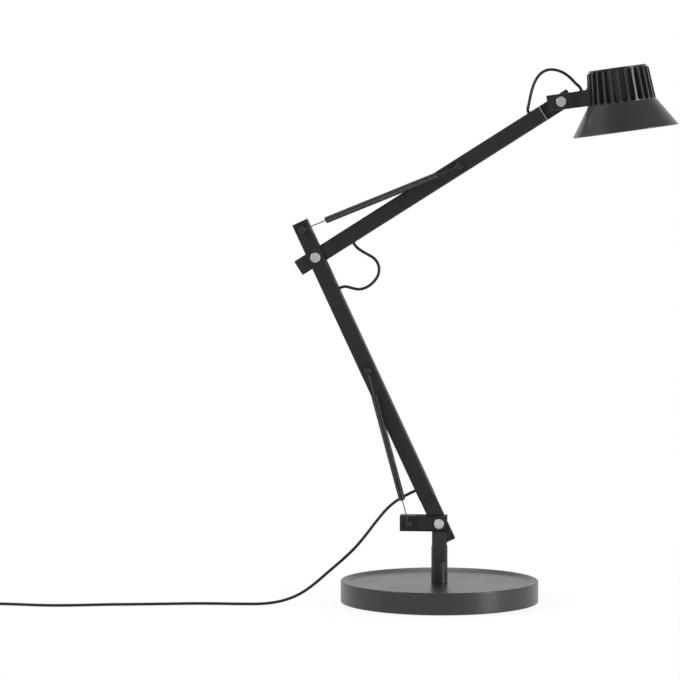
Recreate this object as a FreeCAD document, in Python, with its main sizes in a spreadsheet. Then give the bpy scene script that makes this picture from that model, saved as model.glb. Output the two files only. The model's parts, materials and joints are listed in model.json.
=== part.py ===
"""A balanced-arm desk lamp: round weighted base, two sprung square arms, ribbed head with a conical shade."""
import FreeCAD, Part
import math
import os
from types import SimpleNamespace

import Sketcher
from FreeCAD import Placement, Rotation, Vector

# The frame: millimetres, Z up, X to the right in the side view, the near side at -Y.
# The origin is on the desk under the centre of the base.

DIMENSIONS = {
    # base
    "base_radius": 99.25, "base_height": 22.5, "base_lift": 0.8, "base_wall": 2.0,
    "rim_radius": 96.6, "dish_radius": 89.5, "dish_height": 19.7,
    "pad_radius": 95.0, "pad_thickness": 2.0, "ballast_radius": 97.2, "ballast_top": 17.5,
    "recess_radius": 13.0, "recess_top": 8.2, "bush_radius": 8.0, "bush_bore": 6.05,
    "bush_flange_radius": 11.0, "bush_flange_height": 1.2, "bush_top": 19.8, "base_screw_circle": 45.0,
    "base_screw_count": 3, "base_screw_radius": 2.0, "base_screw_head_radius": 4.0, "base_screw_head": 2.6,
    "base_screw_seat": 4.4, "base_screw_seat_depth": 3.0, "cover_round": 1.0, "dish_round": 5.0,
    "rim_round": 1.2, "pad_bevel": 0.4,
    # post
    "post_radius": 8.2, "post_bottom": 6.9, "post_shoulder": 19.9, "post_top": 85.3, "spigot_radius": 6.0,
    "flat_half": 5.5, "flat_start": 44.0, "flat_runout": 4.0, "slot_half": 3.6, "post_slot_bottom": 57.0,
    "post_screw_radius": 2.5, "post_screw_hole": 14.0, "post_screw_reach": 13.0, "post_screw_head": 3.2,
    "post_screw_head_radius": 5.0, "post_washer_radius": 11.5, "post_washer_thickness": 1.2,
    # how far a cut runs past the piece it cuts
    "cut_margin": 4.0,
    # square section used for the yoke, both arms and the head
    "bar_half": 8.0, "bar_corner": 2.0, "bar_inner": 6.4, "inner_corner": 0.5, "yoke_inner": 5.5,
    # yoke, measured from the lower pivot
    "pivot_height": 80.0, "yoke_left": 38.4, "yoke_right": 7.5, "yoke_slot_left": 24.0,
    "yoke_seat_gap": 0.1, "cap_plate": 1.0, "cap_plug": 5.0, "cap_fit": 0.05, "yoke_stud": 30.0,
    # pivots
    "pin_radius": 3.0, "pin_hole": 3.02, "tongue_bore": 3.05, "pin_head_radius": 5.0, "pin_head": 1.4,
    "pin_bevel": 0.3, "pin_recess_radius": 3.5, "pin_recess": 0.35, "screw_radius": 1.7, "screw_bore": 1.75,
    "screw_reach": 1.0, "screw_bore_reach": 2.0, "nut_short": 0.4,
    "tongue_half": 3.25, "tongue_corner": 1.2, "washer_radius": 6.6, "washer_outer": 3.55,
    "spacer_radius": 6.3, "spacer_inner": 3.3, "spacer_outer": 6.35, "elbow_slot_half": 24.0,
    "elbow_slot_width": 3.7,
    # lower arm, along the arm from the lower pivot
    "lower_angle": 115.0, "lower_length": 294.0, "lower_tail": 20.5, "lower_tube_start": 28.5,
    "lower_tube_end": 331.8, "lower_exit": 39.6, "lower_entry": 256.0, "lower_stud": 169.0,
    "anchor_past_elbow": 30.5, "shank_full": 34.0, "shank_end": 50.0, "shank_half": 6.35, "shank_clear": 2.2,
    # upper arm, along the arm from the elbow
    "upper_angle": 32.41, "upper_length": 290.0, "upper_tail": 20.9, "upper_tube_start": 28.0,
    "upper_tube_end": 252.0, "upper_exit": 39.4, "upper_stud": 170.5, "tip_shank_start": 232.0,
    "tip_block_end": 269.1, "tip_exit": 256.8, "tip_reach": 11.0, "tip_edge": 0.5,
    # springs and their studs
    "stud_root": 2.0, "stud_spigot": 2.5, "stud_bevel": 0.5, "stud_shoulder": 3.4, "stud_neck": 2.3,
    "stud_shoulder_end": 10.6, "stud_neck_start": 11.2, "stud_neck_end": 13.2, "stud_head_start": 13.8,
    "stud_end": 15.5, "spring_radius": 3.5, "spring_wire": 0.55, "spring_loop_gap": 0.1, "spring_plane": 12.2,
    "lower_hook_near_yoke": 25.5, "lower_hook_near_arm": 26.0,
    "upper_hook_near_elbow": 26.0, "upper_hook_near_arm": 24.0,
    # leads and grommets
    "lead_turn_height": 2.7, "lead_turn_run": 9.0, "floor_lead_straight": 13.0, "elbow_loop_straight": 4.0,
    "elbow_entry_straight": 3.4, "wrist_loop_straight": 2.6,
    "lead_radius": 1.5, "grommet_bore": 1.6, "grommet_sleeve": 2.1, "grommet_flange": 2.8,
    "grommet_height": 0.4, "grommet_bevel": 0.3, "grommet_depth": 6.2,
    "channel_half": 1.9, "channel_step": 2.2, "channel_outer_run": 8.7, "channel_outer_rise": 1.15,
    "channel_inner_run": 9.5, "channel_inner_rise": 4.4, "lead_slack": 0.1, "head_lead_end_run": 12.0,
    # head, along the bracket from the wrist and down the head's own axis
    "head_angle": 7.85, "head_centre": 59.2, "fork_back": 13.9, "fork_floor": 14.2, "fork_end": 18.0,
    "fork_screw_side": 4.6, "fork_screw_drop": 3.5, "fork_screw_radius": 1.5, "fork_screw_seat": 2.8,
    "fork_screw_seat_depth": 2.0, "fork_screw_head_radius": 2.7, "fork_screw_head": 1.8,
    "fork_screw_reach": 10.0, "fork_screw_hole": 8.4,
    "head_entry": 20.8, "flare_start": 24.2, "flare_radius": 3.0, "boss_end": 38.0,
    "web_inner": 20.0, "web_outer": 31.0, "web_top": 10.4,
    "sink_bottom": -9.0, "sink_top": 23.9, "sink_radius_bottom": 34.1, "sink_radius_top": 31.0,
    "sink_shoulder": 22.4, "sink_chamfer_radius": 29.6, "spigot_bottom": -12.5, "sink_spigot": 25.9,
    "fin_count": 26, "groove_root": 26.8, "groove_root_half": 2.15, "groove_reach": 38.0,
    "groove_reach_half": 3.65, "groove_end": -5.6, "cavity_radius": 7.0, "cavity_floor": -6.0,
    "shade_rim": -37.9, "shade_rim_radius": 53.1, "shade_wall": 2.15, "shade_roof": 2.0, "shade_lip": 0.9,
    "board_radius": 20.0, "board_thickness": 1.6, "reflector_top": 21.5, "reflector_rim": 34.4,
    "reflector_wall": 1.6, "diffuser_radius": 38.4, "diffuser_top": -19.0, "diffuser_thickness": 2.0,
    "ring_inner": 36.0, "ring_outer": 39.9, "ring_thickness": 1.5,
    "top_cap_radius": 28.9, "top_cap_bottom": 24.4, "top_cap_top": 25.8, "top_cap_neck": 27.0,
    "cap_bevel": 0.4,
    "button_hole": 5.7, "button_radius": 5.45, "button_top": 25.7, "button_flange_radius": 6.5,
    "button_flange_top": 22.4, "button_flange_bottom": 21.0, "button_stem": 2.4, "button_stem_bottom": 13.0,
    "switch_bore": 2.6, "switch_bore_floor": 11.4, "switch_half": 4.6, "switch_bottom": -4.0,
    "switch_top": 14.0,
    # coil and plug-in adapter of the floor lead
    "coil_x": -474.0, "coil_y": -85.5, "coil_outer": 21.0, "coil_inner": 12.0, "coil_height": 12.0,
    "coil_edge": 2.5, "adapter_x": -493.5, "adapter_y": -112.5, "adapter_half_width": 14.0,
    "adapter_length": 52.0, "adapter_height": 27.0, "adapter_corner": 4.0,
    "adapter_edge": 2.0, "relief_length": 21.0, "relief_radius": 3.6,
    "relief_tip_radius": 2.2,
    "plug_pin_radius": 2.0, "plug_pin_length": 18.0, "plug_pin_half_pitch": 9.5,
}


class Size:
    """A number with the formula that ties it to the cells of the sheet."""

    def __init__(self, value, text):
        self.value = value
        self.text = text

    def join(self, other, sign, turned=False):
        left, right = (other, self) if turned else (self, other)
        a, b = number(left), number(right)
        value = {"+": a + b, "-": a - b, "*": a * b, "/": a / b if b else 0.0}[sign]
        return Size(value, f"({words(left)} {sign} {words(right)})")

    def __add__(self, other):
        return self.join(other, "+")

    def __radd__(self, other):
        return self.join(other, "+", turned=True)

    def __sub__(self, other):
        return self.join(other, "-")

    def __rsub__(self, other):
        return self.join(other, "-", turned=True)

    def __mul__(self, other):
        return self.join(other, "*")

    def __rmul__(self, other):
        return self.join(other, "*", turned=True)

    def __truediv__(self, other):
        return self.join(other, "/")

    def __neg__(self):
        return Size(-self.value, f"(0 - {self.text})")


def number(size):
    return size.value if isinstance(size, Size) else float(size)


def words(size):
    return size.text if isinstance(size, Size) else repr(float(size))


doc = FreeCAD.newDocument("DeskLamp")
sheet = doc.addObject("Spreadsheet::Sheet", "Sizes")
for row, (alias, cell) in enumerate(DIMENSIONS.items(), start=1):
    sheet.set(f"A{row}", alias.replace("_", " "))
    sheet.set(f"B{row}", str(cell))
    sheet.setAlias(f"B{row}", alias)
doc.recompute()
mm = SimpleNamespace(**{alias: Size(float(sheet.get(alias)), f"Sizes.{alias}") for alias in DIMENSIONS})
pieces = {}


def tie(item, name, size):
    """Sets a property from a size, bound to the sheet where the size has a formula."""
    if isinstance(size, Size):
        item.setExpression(name, size.text)
    elif "." not in name:
        setattr(item, name, size)


def start(label, place=None):
    """An empty body for one piece, at its place."""
    body = doc.addObject("PartDesign::Body", label)
    body.Label = label
    body.AllowCompound = True
    if place:
        body.Placement = place
    pieces[label] = body
    return body


def origin_part(body, role):
    return next(item for item in body.Origin.OriginFeatures if item.Role == role)


def ring(x, y, radius):
    return SimpleNamespace(x=x, y=y, radius=radius)


def arc_between(begin, end, radius, turn):
    """The arc of a radius from one point to the next, turning left (1) or right (-1)."""
    chord = end - begin
    middle = (begin + end) * 0.5
    side = Vector(-chord.y, chord.x, 0).normalize()
    rise = math.sqrt(max(radius * radius - chord.Length * chord.Length / 4, 0.0))
    centre = middle + side * rise * turn
    first, last = (begin, end) if turn > 0 else (end, begin)
    angles = [math.atan2(p.y - centre.y, p.x - centre.x) for p in (first, last)]
    return Part.ArcOfCircle(Part.Circle(centre, Vector(0, 0, 1), radius), angles[0], angles[1])


def hold_point(sketch, rules, geometry, vertex, x, y):
    """Rules that put a vertex of the sketch at x and y."""
    for kind, axis, size in (("DistanceX", -2, x), ("DistanceY", -1, y)):
        if number(size) == 0:
            rules.append((Sketcher.Constraint("PointOnObject", geometry, vertex, axis), None))
        else:
            rules.append((Sketcher.Constraint(kind, -1, 1, geometry, vertex, number(size)), size))


def draw(sketch, outline):
    """A closed outline of lines and arcs, or a full circle, with its sizes as constraints."""
    rules = []
    first = sketch.GeometryCount
    if isinstance(outline, SimpleNamespace):
        centre = Vector(number(outline.x), number(outline.y), 0)
        sketch.addGeometry(Part.Circle(centre, Vector(0, 0, 1), number(outline.radius)), False)
        rules.append((Sketcher.Constraint("Radius", first, number(outline.radius)), outline.radius))
        hold_point(sketch, rules, first, 3, outline.x, outline.y)
    else:
        corners = [Vector(number(point[0]), number(point[1]), 0) for point in outline]
        ends = []
        for index, corner in enumerate(corners):
            following = (index + 1) % len(corners)
            bend = outline[following][2:]
            if bend:
                curve = arc_between(corner, corners[following], number(bend[0]), bend[1])
                ends.append((1, 2) if bend[1] > 0 else (2, 1))
                rules.append((Sketcher.Constraint("Radius", first + index, number(bend[0])), bend[0]))
            else:
                curve = Part.LineSegment(corner, corners[following])
                ends.append((1, 2))
            sketch.addGeometry(curve, False)
        for index, point in enumerate(outline):
            following = (index + 1) % len(corners)
            meeting = (first + index, ends[index][1], first + following, ends[following][0])
            rules.append((Sketcher.Constraint("Coincident", *meeting), None))
            hold_point(sketch, rules, first + index, ends[index][0], point[0], point[1])
    for rule, size in rules:
        place = sketch.addConstraint(rule)
        if isinstance(size, Size):
            name = f"size{place}"
            sketch.renameConstraint(place, name)
            sketch.setExpression(f"Constraints.{name}", size.text)


def outline_on(body, plane, outlines, offset=0.0):
    sketch = body.newObject("Sketcher::SketchObject", f"{body.Label}_outline")
    sketch.AttachmentSupport = (origin_part(body, plane), [""])
    sketch.MapMode = "FlatFace"
    if isinstance(offset, Size):
        sketch.setExpression("AttachmentOffset.Base.z", offset.text)
    elif offset:
        sketch.AttachmentOffset = Placement(Vector(0, 0, offset), Rotation())
    for outline in outlines:
        draw(sketch, outline)
    return sketch


def pad(body, plane, outlines, length, offset=0.0, both=False):
    """Adds a pad of the outlines: from the offset along the plane's normal, or half to each side."""
    feature = body.newObject("PartDesign::Pad", f"{body.Label}_pad")
    feature.Profile = outline_on(body, plane, outlines, offset)
    feature.Midplane = both
    tie(feature, "Length", length)
    return feature


def pocket(body, plane, outlines, length=None, offset=0.0, both=False, onward=False):
    """Cuts a pocket: against the plane's normal, or along it with onward; with no length, through all."""
    feature = body.newObject("PartDesign::Pocket", f"{body.Label}_pocket")
    feature.Profile = outline_on(body, plane, outlines, offset)
    feature.Midplane = both
    feature.Reversed = onward
    if length is None:
        feature.Type = "ThroughAll"
    else:
        tie(feature, "Length", length)
    return feature


def revolve(body, outlines, plane="XZ_Plane", axis="V_Axis", offset=None, cut=False):
    """Turns the outlines about an axis of their sketch, as a solid or as a cut."""
    kind = "PartDesign::Groove" if cut else "PartDesign::Revolution"
    feature = body.newObject(kind, f"{body.Label}_turned")
    sketch = outline_on(body, plane, outlines)
    if offset is not None:
        sketch.setExpression("AttachmentOffset.Base.y", offset.text)
    feature.Profile = sketch
    feature.ReferenceAxis = (sketch, [axis])
    feature.Angle = 360.0
    return feature


def turned(label, outlines, place=None):
    """A turned piece: each outline is (radius, height) points, and the axis is the piece's own Z."""
    body = start(label, place)
    revolve(body, outlines)
    return body


def around(body, features, count):
    pattern = body.newObject("PartDesign::PolarPattern", f"{body.Label}_pattern")
    pattern.Originals = features
    pattern.Axis = (origin_part(body, "Z_Axis"), [""])
    pattern.Angle = 360.0
    tie(pattern, "Occurrences", count)
    body.Tip = pattern
    return pattern


def soften(body, radius, chosen):
    """Rounds the edges of the body that the test chooses."""
    doc.recompute()
    base = body.Tip
    names = [f"Edge{place}" for place, edge in enumerate(base.Shape.Edges, start=1) if chosen(edge)]
    feature = body.newObject("PartDesign::Fillet", f"{body.Label}_fillet")
    feature.Base = (base, names)
    tie(feature, "Radius", radius)
    return feature


def circle_at(radius, height):
    """A test for a turned piece's circular edge at a radius and height."""
    def test(edge):
        curve = edge.Curve
        return (isinstance(curve, Part.Circle) and abs(curve.Radius - radius) < 0.01
                and abs(curve.Center.z - height) < 0.01)
    return test


def square(half, corner):
    """A square outline with rounded corners."""
    near = half - corner
    return [
        (near, -half), (half, -near, corner, 1), (half, near), (near, half, corner, 1),
        (-near, half), (-half, near, corner, 1), (-half, -near), (-near, -half, corner, 1),
    ]


def block(x_low, x_high, z_low, z_high):
    return [(x_low, z_low), (x_high, z_low), (x_high, z_high), (x_low, z_high)]


def tongue_outline(tip, root, corner):
    """A tongue's side outline, its tip's corners rounded; the tip may lie before or after the root."""
    half = mm.bar_half
    out = 1 if number(tip) > number(root) else -1
    inset = tip - corner * out
    return [
        (root, -half * out), (inset, -half * out), (tip, (corner - half) * out, corner, 1),
        (tip, (half - corner) * out), (inset, half * out, corner, 1), (root, half * out),
    ]


def slot_outline(middle, half_length, half_width):
    """A slot along X with round ends, each drawn as two quarters."""
    low, high = middle - half_length + half_width, middle + half_length - half_width
    return [
        (low, -half_width, half_width, 1), (high, -half_width), (high + half_width, 0, half_width, 1),
        (high, half_width, half_width, 1), (low, half_width), (low - half_width, 0, half_width, 1),
    ]


def square_bar(body, begin, finish, inner=None):
    """A length of the square section along X, hollow where an inner half width is given."""
    outlines = [square(mm.bar_half, mm.bar_corner)]
    if inner is not None:
        outlines.append(square(inner, mm.inner_corner))
    return pad(body, "YZ_Plane", outlines, finish - begin, offset=begin)


# The places of the pivots and of the frames that ride on them.
def tilted(x, z, angle):
    return Placement(Vector(x, 0, z), Rotation(Vector(0, 1, 0), -angle))


lower_frame = tilted(0, mm.pivot_height.value, mm.lower_angle.value)
elbow = lower_frame.multVec(Vector(mm.lower_length.value, 0, 0))
upper_frame = tilted(elbow.x, elbow.z, mm.upper_angle.value)
wrist = upper_frame.multVec(Vector(mm.upper_length.value, 0, 0))
head_frame = tilted(wrist.x, wrist.z, mm.head_angle.value)
yoke_frame = Placement(Vector(0, 0, mm.pivot_height.value), Rotation())
sink_frame = head_frame * Placement(Vector(mm.head_centre.value, 0, 0), Rotation())
print("elbow", elbow, "wrist", wrist)


def facing_near(frame, along, across=0.0):
    """A place in a frame whose own Z points to the near side."""
    return frame * Placement(Vector(along, 0, across), Rotation(Vector(1, 0, 0), 90))


def facing_up(frame, along, up=True):
    """A place in a frame whose own Z points away from the bar's upper or lower side."""
    return frame * Placement(Vector(along, 0, 0), Rotation(Vector(1, 0, 0), 0 if up else 180))


# Base: cover, ballast, pad, bush and screws.
def make_base():
    cover_bore = mm.bush_radius
    inner = mm.base_radius - mm.base_wall
    roof = mm.dish_height - mm.base_wall
    cover = turned("base_cover", [[
        (inner, mm.base_lift), (mm.base_radius, mm.base_lift), (mm.base_radius, mm.base_height),
        (mm.rim_radius, mm.base_height), (mm.dish_radius, mm.dish_height), (cover_bore, mm.dish_height),
        (cover_bore, roof), (inner, roof),
    ]])
    soften(cover, mm.cover_round, circle_at(mm.base_radius.value, mm.base_height.value))
    soften(cover, mm.cover_round, circle_at(mm.base_radius.value, mm.base_lift.value))
    soften(cover, mm.dish_round, circle_at(mm.dish_radius.value, mm.dish_height.value))
    soften(cover, mm.rim_round, circle_at(mm.rim_radius.value, mm.base_height.value))

    ballast = turned("ballast_disc", [[
        (mm.recess_radius, mm.pad_thickness), (mm.ballast_radius, mm.pad_thickness),
        (mm.ballast_radius, mm.ballast_top), (mm.bush_radius, mm.ballast_top),
        (mm.bush_radius, mm.recess_top), (mm.recess_radius, mm.recess_top),
    ]])
    hole = pocket(ballast, "XY_Plane", [ring(mm.base_screw_circle, 0, mm.base_screw_radius)], onward=True)
    seat = pocket(ballast, "XY_Plane", [ring(mm.base_screw_circle, 0, mm.base_screw_seat)],
                  length=mm.base_screw_seat_depth + mm.pad_thickness, onward=True)
    around(ballast, [hole, seat], mm.base_screw_count)

    screws = start("base_screws")
    shaft = pad(screws, "XY_Plane", [ring(mm.base_screw_circle, 0, mm.base_screw_radius)],
                mm.ballast_top - mm.pad_thickness, offset=mm.pad_thickness)
    head = pad(screws, "XY_Plane", [ring(mm.base_screw_circle, 0, mm.base_screw_head_radius)],
               mm.base_screw_head, offset=mm.pad_thickness + mm.base_screw_seat_depth - mm.base_screw_head)
    around(screws, [shaft, head], mm.base_screw_count)

    turned("foot_pad", [[
        (0, 0), (mm.pad_radius - mm.pad_bevel, 0), (mm.pad_radius, mm.pad_bevel),
        (mm.pad_radius, mm.pad_thickness), (0, mm.pad_thickness),
    ]])
    flange_bottom = mm.recess_top - mm.bush_flange_height
    turned("swivel_bush", [[
        (mm.bush_bore, flange_bottom), (mm.bush_flange_radius, flange_bottom),
        (mm.bush_flange_radius, mm.recess_top), (mm.bush_radius, mm.recess_top),
        (mm.bush_radius, mm.bush_top), (mm.bush_bore, mm.bush_top),
    ]])


# Post: a round bar with milled flats and a forked top, held in the base by a screw and washer.
def make_post():
    post = turned("post", [[
        (0, mm.post_bottom), (mm.spigot_radius, mm.post_bottom), (mm.spigot_radius, mm.post_shoulder),
        (mm.post_radius, mm.post_shoulder), (mm.post_radius, mm.post_top), (0, mm.post_top),
    ]])
    reach = mm.post_radius + mm.cut_margin
    above = mm.post_top + mm.cut_margin
    runout = mm.flat_half + mm.flat_runout
    flats = [
        [(side * mm.flat_half, mm.flat_start),
         (side * runout, mm.flat_start - mm.flat_runout, mm.flat_runout, side),
         (side * reach, mm.flat_start - mm.flat_runout), (side * reach, above), (side * mm.flat_half, above)]
        for side in (1, -1)
    ]
    pocket(post, "YZ_Plane", flats, both=True)
    pocket(post, "YZ_Plane", [block(-mm.slot_half, mm.slot_half, mm.post_slot_bottom, above)], both=True)
    pocket(post, "XZ_Plane", [ring(0, mm.pivot_height, mm.pin_hole)], both=True)
    pocket(post, "XY_Plane", [ring(0, 0, mm.post_screw_radius)], 
           length=mm.post_bottom + mm.post_screw_hole, onward=True)

    washer_top = mm.post_bottom
    washer_bottom = washer_top - mm.post_washer_thickness
    screw_bottom = washer_bottom - mm.post_screw_head
    screw_top = mm.post_bottom + mm.post_screw_reach
    turned("post_washer", [[
        (mm.post_screw_radius, washer_bottom), (mm.post_washer_radius, washer_bottom),
        (mm.post_washer_radius, washer_top), (mm.post_screw_radius, washer_top),
    ]])
    turned("post_screw", [[
        (0, screw_bottom), (mm.post_screw_head_radius, screw_bottom),
        (mm.post_screw_head_radius, washer_bottom), (mm.post_screw_radius, washer_bottom),
        (mm.post_screw_radius, screw_top), (0, screw_top),
    ]])


def make_yoke():
    yoke = start("yoke", yoke_frame)
    square_bar(yoke, -mm.yoke_left, mm.yoke_right, mm.yoke_inner)
    past = mm.yoke_right + mm.cut_margin
    pocket(yoke, "XY_Plane", [block(-mm.yoke_slot_left, past, -mm.slot_half, mm.slot_half)], both=True)
    seat = mm.post_radius + mm.yoke_seat_gap
    pocket(yoke, "XY_Plane", [block(-seat, past, -mm.flat_half, mm.flat_half)])
    pocket(yoke, "XZ_Plane", [ring(0, 0, mm.pin_hole)], both=True)
    pocket(yoke, "XZ_Plane", [ring(-mm.yoke_stud, 0, mm.stud_root)], onward=True)
    end_cap("yoke_cap", yoke_frame, -mm.yoke_left, -1, mm.yoke_inner)


def end_cap(label, frame, end, out, inner):
    """A plastic cap on the end of a square tube: a plate and a plug that fits inside."""
    cap = start(label, frame)
    plate_low = end if out > 0 else end - mm.cap_plate
    pad(cap, "YZ_Plane", [square(mm.bar_half, mm.bar_corner)], mm.cap_plate, offset=plate_low)
    plug_low = end - mm.cap_plug if out > 0 else end
    pad(cap, "YZ_Plane", [square(inner - mm.cap_fit, mm.inner_corner)], mm.cap_plug, offset=plug_low)


# Pivots: a sleeve nut through from the far side and a screw into it from the near side.
def make_pivot(name, frame, along):
    place = facing_near(frame, along)
    face = mm.bar_half
    top = face + mm.pin_head
    turned(f"{name}_screw", [[
        (0, top - mm.pin_recess), (mm.pin_recess_radius, top - mm.pin_recess), (mm.pin_recess_radius, top),
        (mm.pin_head_radius - mm.pin_bevel, top), (mm.pin_head_radius, top - mm.pin_bevel),
        (mm.pin_head_radius, face), (mm.screw_radius, face), (mm.screw_radius, -mm.screw_reach),
        (0, -mm.screw_reach),
    ]], place)
    turned(f"{name}_nut", [[
        (0, -top), (mm.pin_head_radius - mm.pin_bevel, -top), (mm.pin_head_radius, mm.pin_bevel - top),
        (mm.pin_head_radius, -face), (mm.pin_radius, -face), (mm.pin_radius, face - mm.nut_short),
        (mm.screw_bore, face - mm.nut_short), (mm.screw_bore, -mm.screw_bore_reach),
        (0, -mm.screw_bore_reach),
    ]], place)


def paired_rings(label, frame, along, inner, outer, radius):
    """Two equal rings on a pivot, one each side of the tongue."""
    turned(label, [
        [(mm.tongue_bore, side * inner), (radius, side * inner), (radius, side * outer),
         (mm.tongue_bore, side * outer)]
        for side in (1, -1)
    ], facing_near(frame, along))


def make_stud(label, frame, along):
    """A grooved stud on the near face, which a spring's loop goes round."""
    face = mm.bar_half
    turned(label, [[
        (0, face - mm.stud_spigot), (mm.stud_root, face - mm.stud_spigot), (mm.stud_root, face),
        (mm.stud_shoulder, face),
        (mm.stud_shoulder, mm.stud_shoulder_end), (mm.stud_neck, mm.stud_neck_start),
        (mm.stud_neck, mm.stud_neck_end), (mm.stud_shoulder, mm.stud_head_start),
        (mm.stud_shoulder, mm.stud_end - mm.stud_bevel), (mm.stud_shoulder - mm.stud_bevel, mm.stud_end),
        (0, mm.stud_end),
    ]], facing_near(frame, along))


def make_grommet(label, frame, along, up):
    face = mm.bar_half
    turned(label, [[
        (mm.grommet_bore, mm.grommet_depth), (mm.grommet_sleeve, mm.grommet_depth), (mm.grommet_sleeve, face),
        (mm.grommet_flange, face), (mm.grommet_flange - mm.grommet_bevel, face + mm.grommet_height),
        (mm.grommet_bore, face + mm.grommet_height),
    ]], facing_up(frame, along, up))


def make_tongue(label, frame, tail, root, clear_side):
    """A forged tongue with a shank that fills the tube's end, cut back beside the lead's exit."""
    tongue = start(label, frame)
    pad(tongue, "XZ_Plane", [tongue_outline(-tail, root, mm.tongue_corner)], mm.tongue_half * 2, both=True)
    low, high = -mm.shank_half, mm.shank_half
    notch = -mm.shank_clear * clear_side
    far_edge = low if clear_side > 0 else high
    near_edge = high if clear_side > 0 else low
    shank = [(root, far_edge), (mm.shank_end, far_edge), (mm.shank_end, notch), (mm.shank_full, notch),
             (mm.shank_full, near_edge), (root, near_edge)]
    pad(tongue, "XZ_Plane", [shank], mm.shank_half * 2, both=True)
    pocket(tongue, "XZ_Plane", [ring(0, 0, mm.tongue_bore)], both=True)


# Lower arm, along its own X from the lower pivot; its own +Z is the left side.
def make_lower_arm():
    tube = start("lower_arm_tube", lower_frame)
    square_bar(tube, mm.lower_tube_start, mm.lower_tube_end, mm.bar_inner)
    middle = mm.lower_length
    pocket(tube, "XY_Plane", [slot_outline(middle, mm.elbow_slot_half, mm.elbow_slot_width)], both=True)
    pocket(tube, "XZ_Plane", [ring(middle, 0, mm.pin_hole)], both=True)
    studs = [mm.lower_stud, mm.lower_length + mm.anchor_past_elbow]
    pocket(tube, "XZ_Plane", [ring(along, 0, mm.stud_root) for along in studs], onward=True)
    pocket(tube, "XY_Plane", [ring(mm.lower_exit, 0, mm.grommet_sleeve)], onward=True)
    pocket(tube, "XY_Plane", [ring(mm.lower_entry, 0, mm.grommet_sleeve)])
    make_tongue("lower_tongue", lower_frame, mm.lower_tail, mm.lower_tube_start, 1)
    end_cap("lower_arm_cap", lower_frame, mm.lower_tube_end, 1, mm.bar_inner)
    paired_rings("lower_pivot_washers", lower_frame, 0, mm.tongue_half, mm.washer_outer, mm.washer_radius)
    paired_rings("elbow_spacers", lower_frame, mm.lower_length.value, mm.spacer_inner, mm.spacer_outer,
                 mm.spacer_radius)
    make_pivot("elbow_pivot", lower_frame, mm.lower_length.value)
    make_stud("lower_spring_stud", lower_frame, mm.lower_stud.value)
    make_stud("upper_spring_anchor", lower_frame, mm.lower_length.value + mm.anchor_past_elbow.value)
    make_grommet("floor_lead_grommet", lower_frame, mm.lower_exit.value, True)
    make_grommet("elbow_grommet_lower", lower_frame, mm.lower_entry.value, False)


# Upper arm, along its own X from the elbow; its own +Z is the upper side.
def make_upper_arm():
    tube = start("upper_arm_tube", upper_frame)
    square_bar(tube, mm.upper_tube_start, mm.upper_tube_end, mm.bar_inner)
    pocket(tube, "XZ_Plane", [ring(mm.upper_stud, 0, mm.stud_root)], onward=True)
    pocket(tube, "XY_Plane", [ring(mm.upper_exit, 0, mm.grommet_sleeve)])
    make_tongue("upper_tongue", upper_frame, mm.upper_tail, mm.upper_tube_start, -1)
    make_stud("upper_spring_stud", upper_frame, mm.upper_stud.value)
    make_grommet("elbow_grommet_upper", upper_frame, mm.upper_exit.value, False)
    make_grommet("wrist_grommet_arm", upper_frame, mm.tip_exit.value, True)

    tip = start("arm_tip", upper_frame)
    square_bar(tip, mm.upper_tube_end, mm.tip_block_end)
    shank = mm.upper_tube_end - mm.tip_shank_start
    pad(tip, "YZ_Plane", [square(mm.shank_half, mm.inner_corner)], shank, offset=mm.tip_shank_start)
    pad(tip, "XZ_Plane", [tongue_outline(mm.upper_length + mm.tip_reach, mm.tip_block_end, mm.tongue_corner)],
        mm.tongue_half * 2, both=True)
    pocket(tip, "XZ_Plane", [ring(mm.upper_length, 0, mm.tongue_bore)], both=True)
    carve_channel(tip, mm.tip_shank_start - 1, mm.tip_exit, 1)
    tip_end = mm.tip_block_end.value
    soften(tip, mm.tip_edge, lambda edge: abs(edge.BoundBox.XMin - tip_end) < 0.01
           and edge.BoundBox.XLength < 0.01
           and max(abs(edge.CenterOfMass.y), abs(edge.CenterOfMass.z)) > mm.bar_inner.value)


def carve_channel(body, start_at, exit_at, way):
    """The hollow for a lead that comes along the bar, up or down its X, and turns up into its grommet."""
    half, depth = mm.channel_half, mm.grommet_depth
    outer, inner = exit_at + half * way, exit_at - mm.channel_step * way
    outline = [
        (start_at, -half), (exit_at - mm.channel_outer_run * way, -half), (outer, mm.channel_outer_rise),
        (outer, depth), (inner, depth), (inner, mm.channel_inner_rise),
        (exit_at - mm.channel_inner_run * way, half), (start_at, half),
    ]
    pocket(body, "XZ_Plane", [outline], half * 2, both=True)
    pocket(body, "XY_Plane", [ring(exit_at, 0, mm.grommet_sleeve)], offset=depth, onward=True)


def groove_outline(half):
    """The section of a groove between two fins: straight walls and a round lower end."""
    above = mm.sink_top + mm.cut_margin
    return [
        (-half, mm.groove_end), (0, mm.groove_end - half, half, 1), (half, mm.groove_end, half, 1),
        (half, above), (-half, above),
    ]


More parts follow.
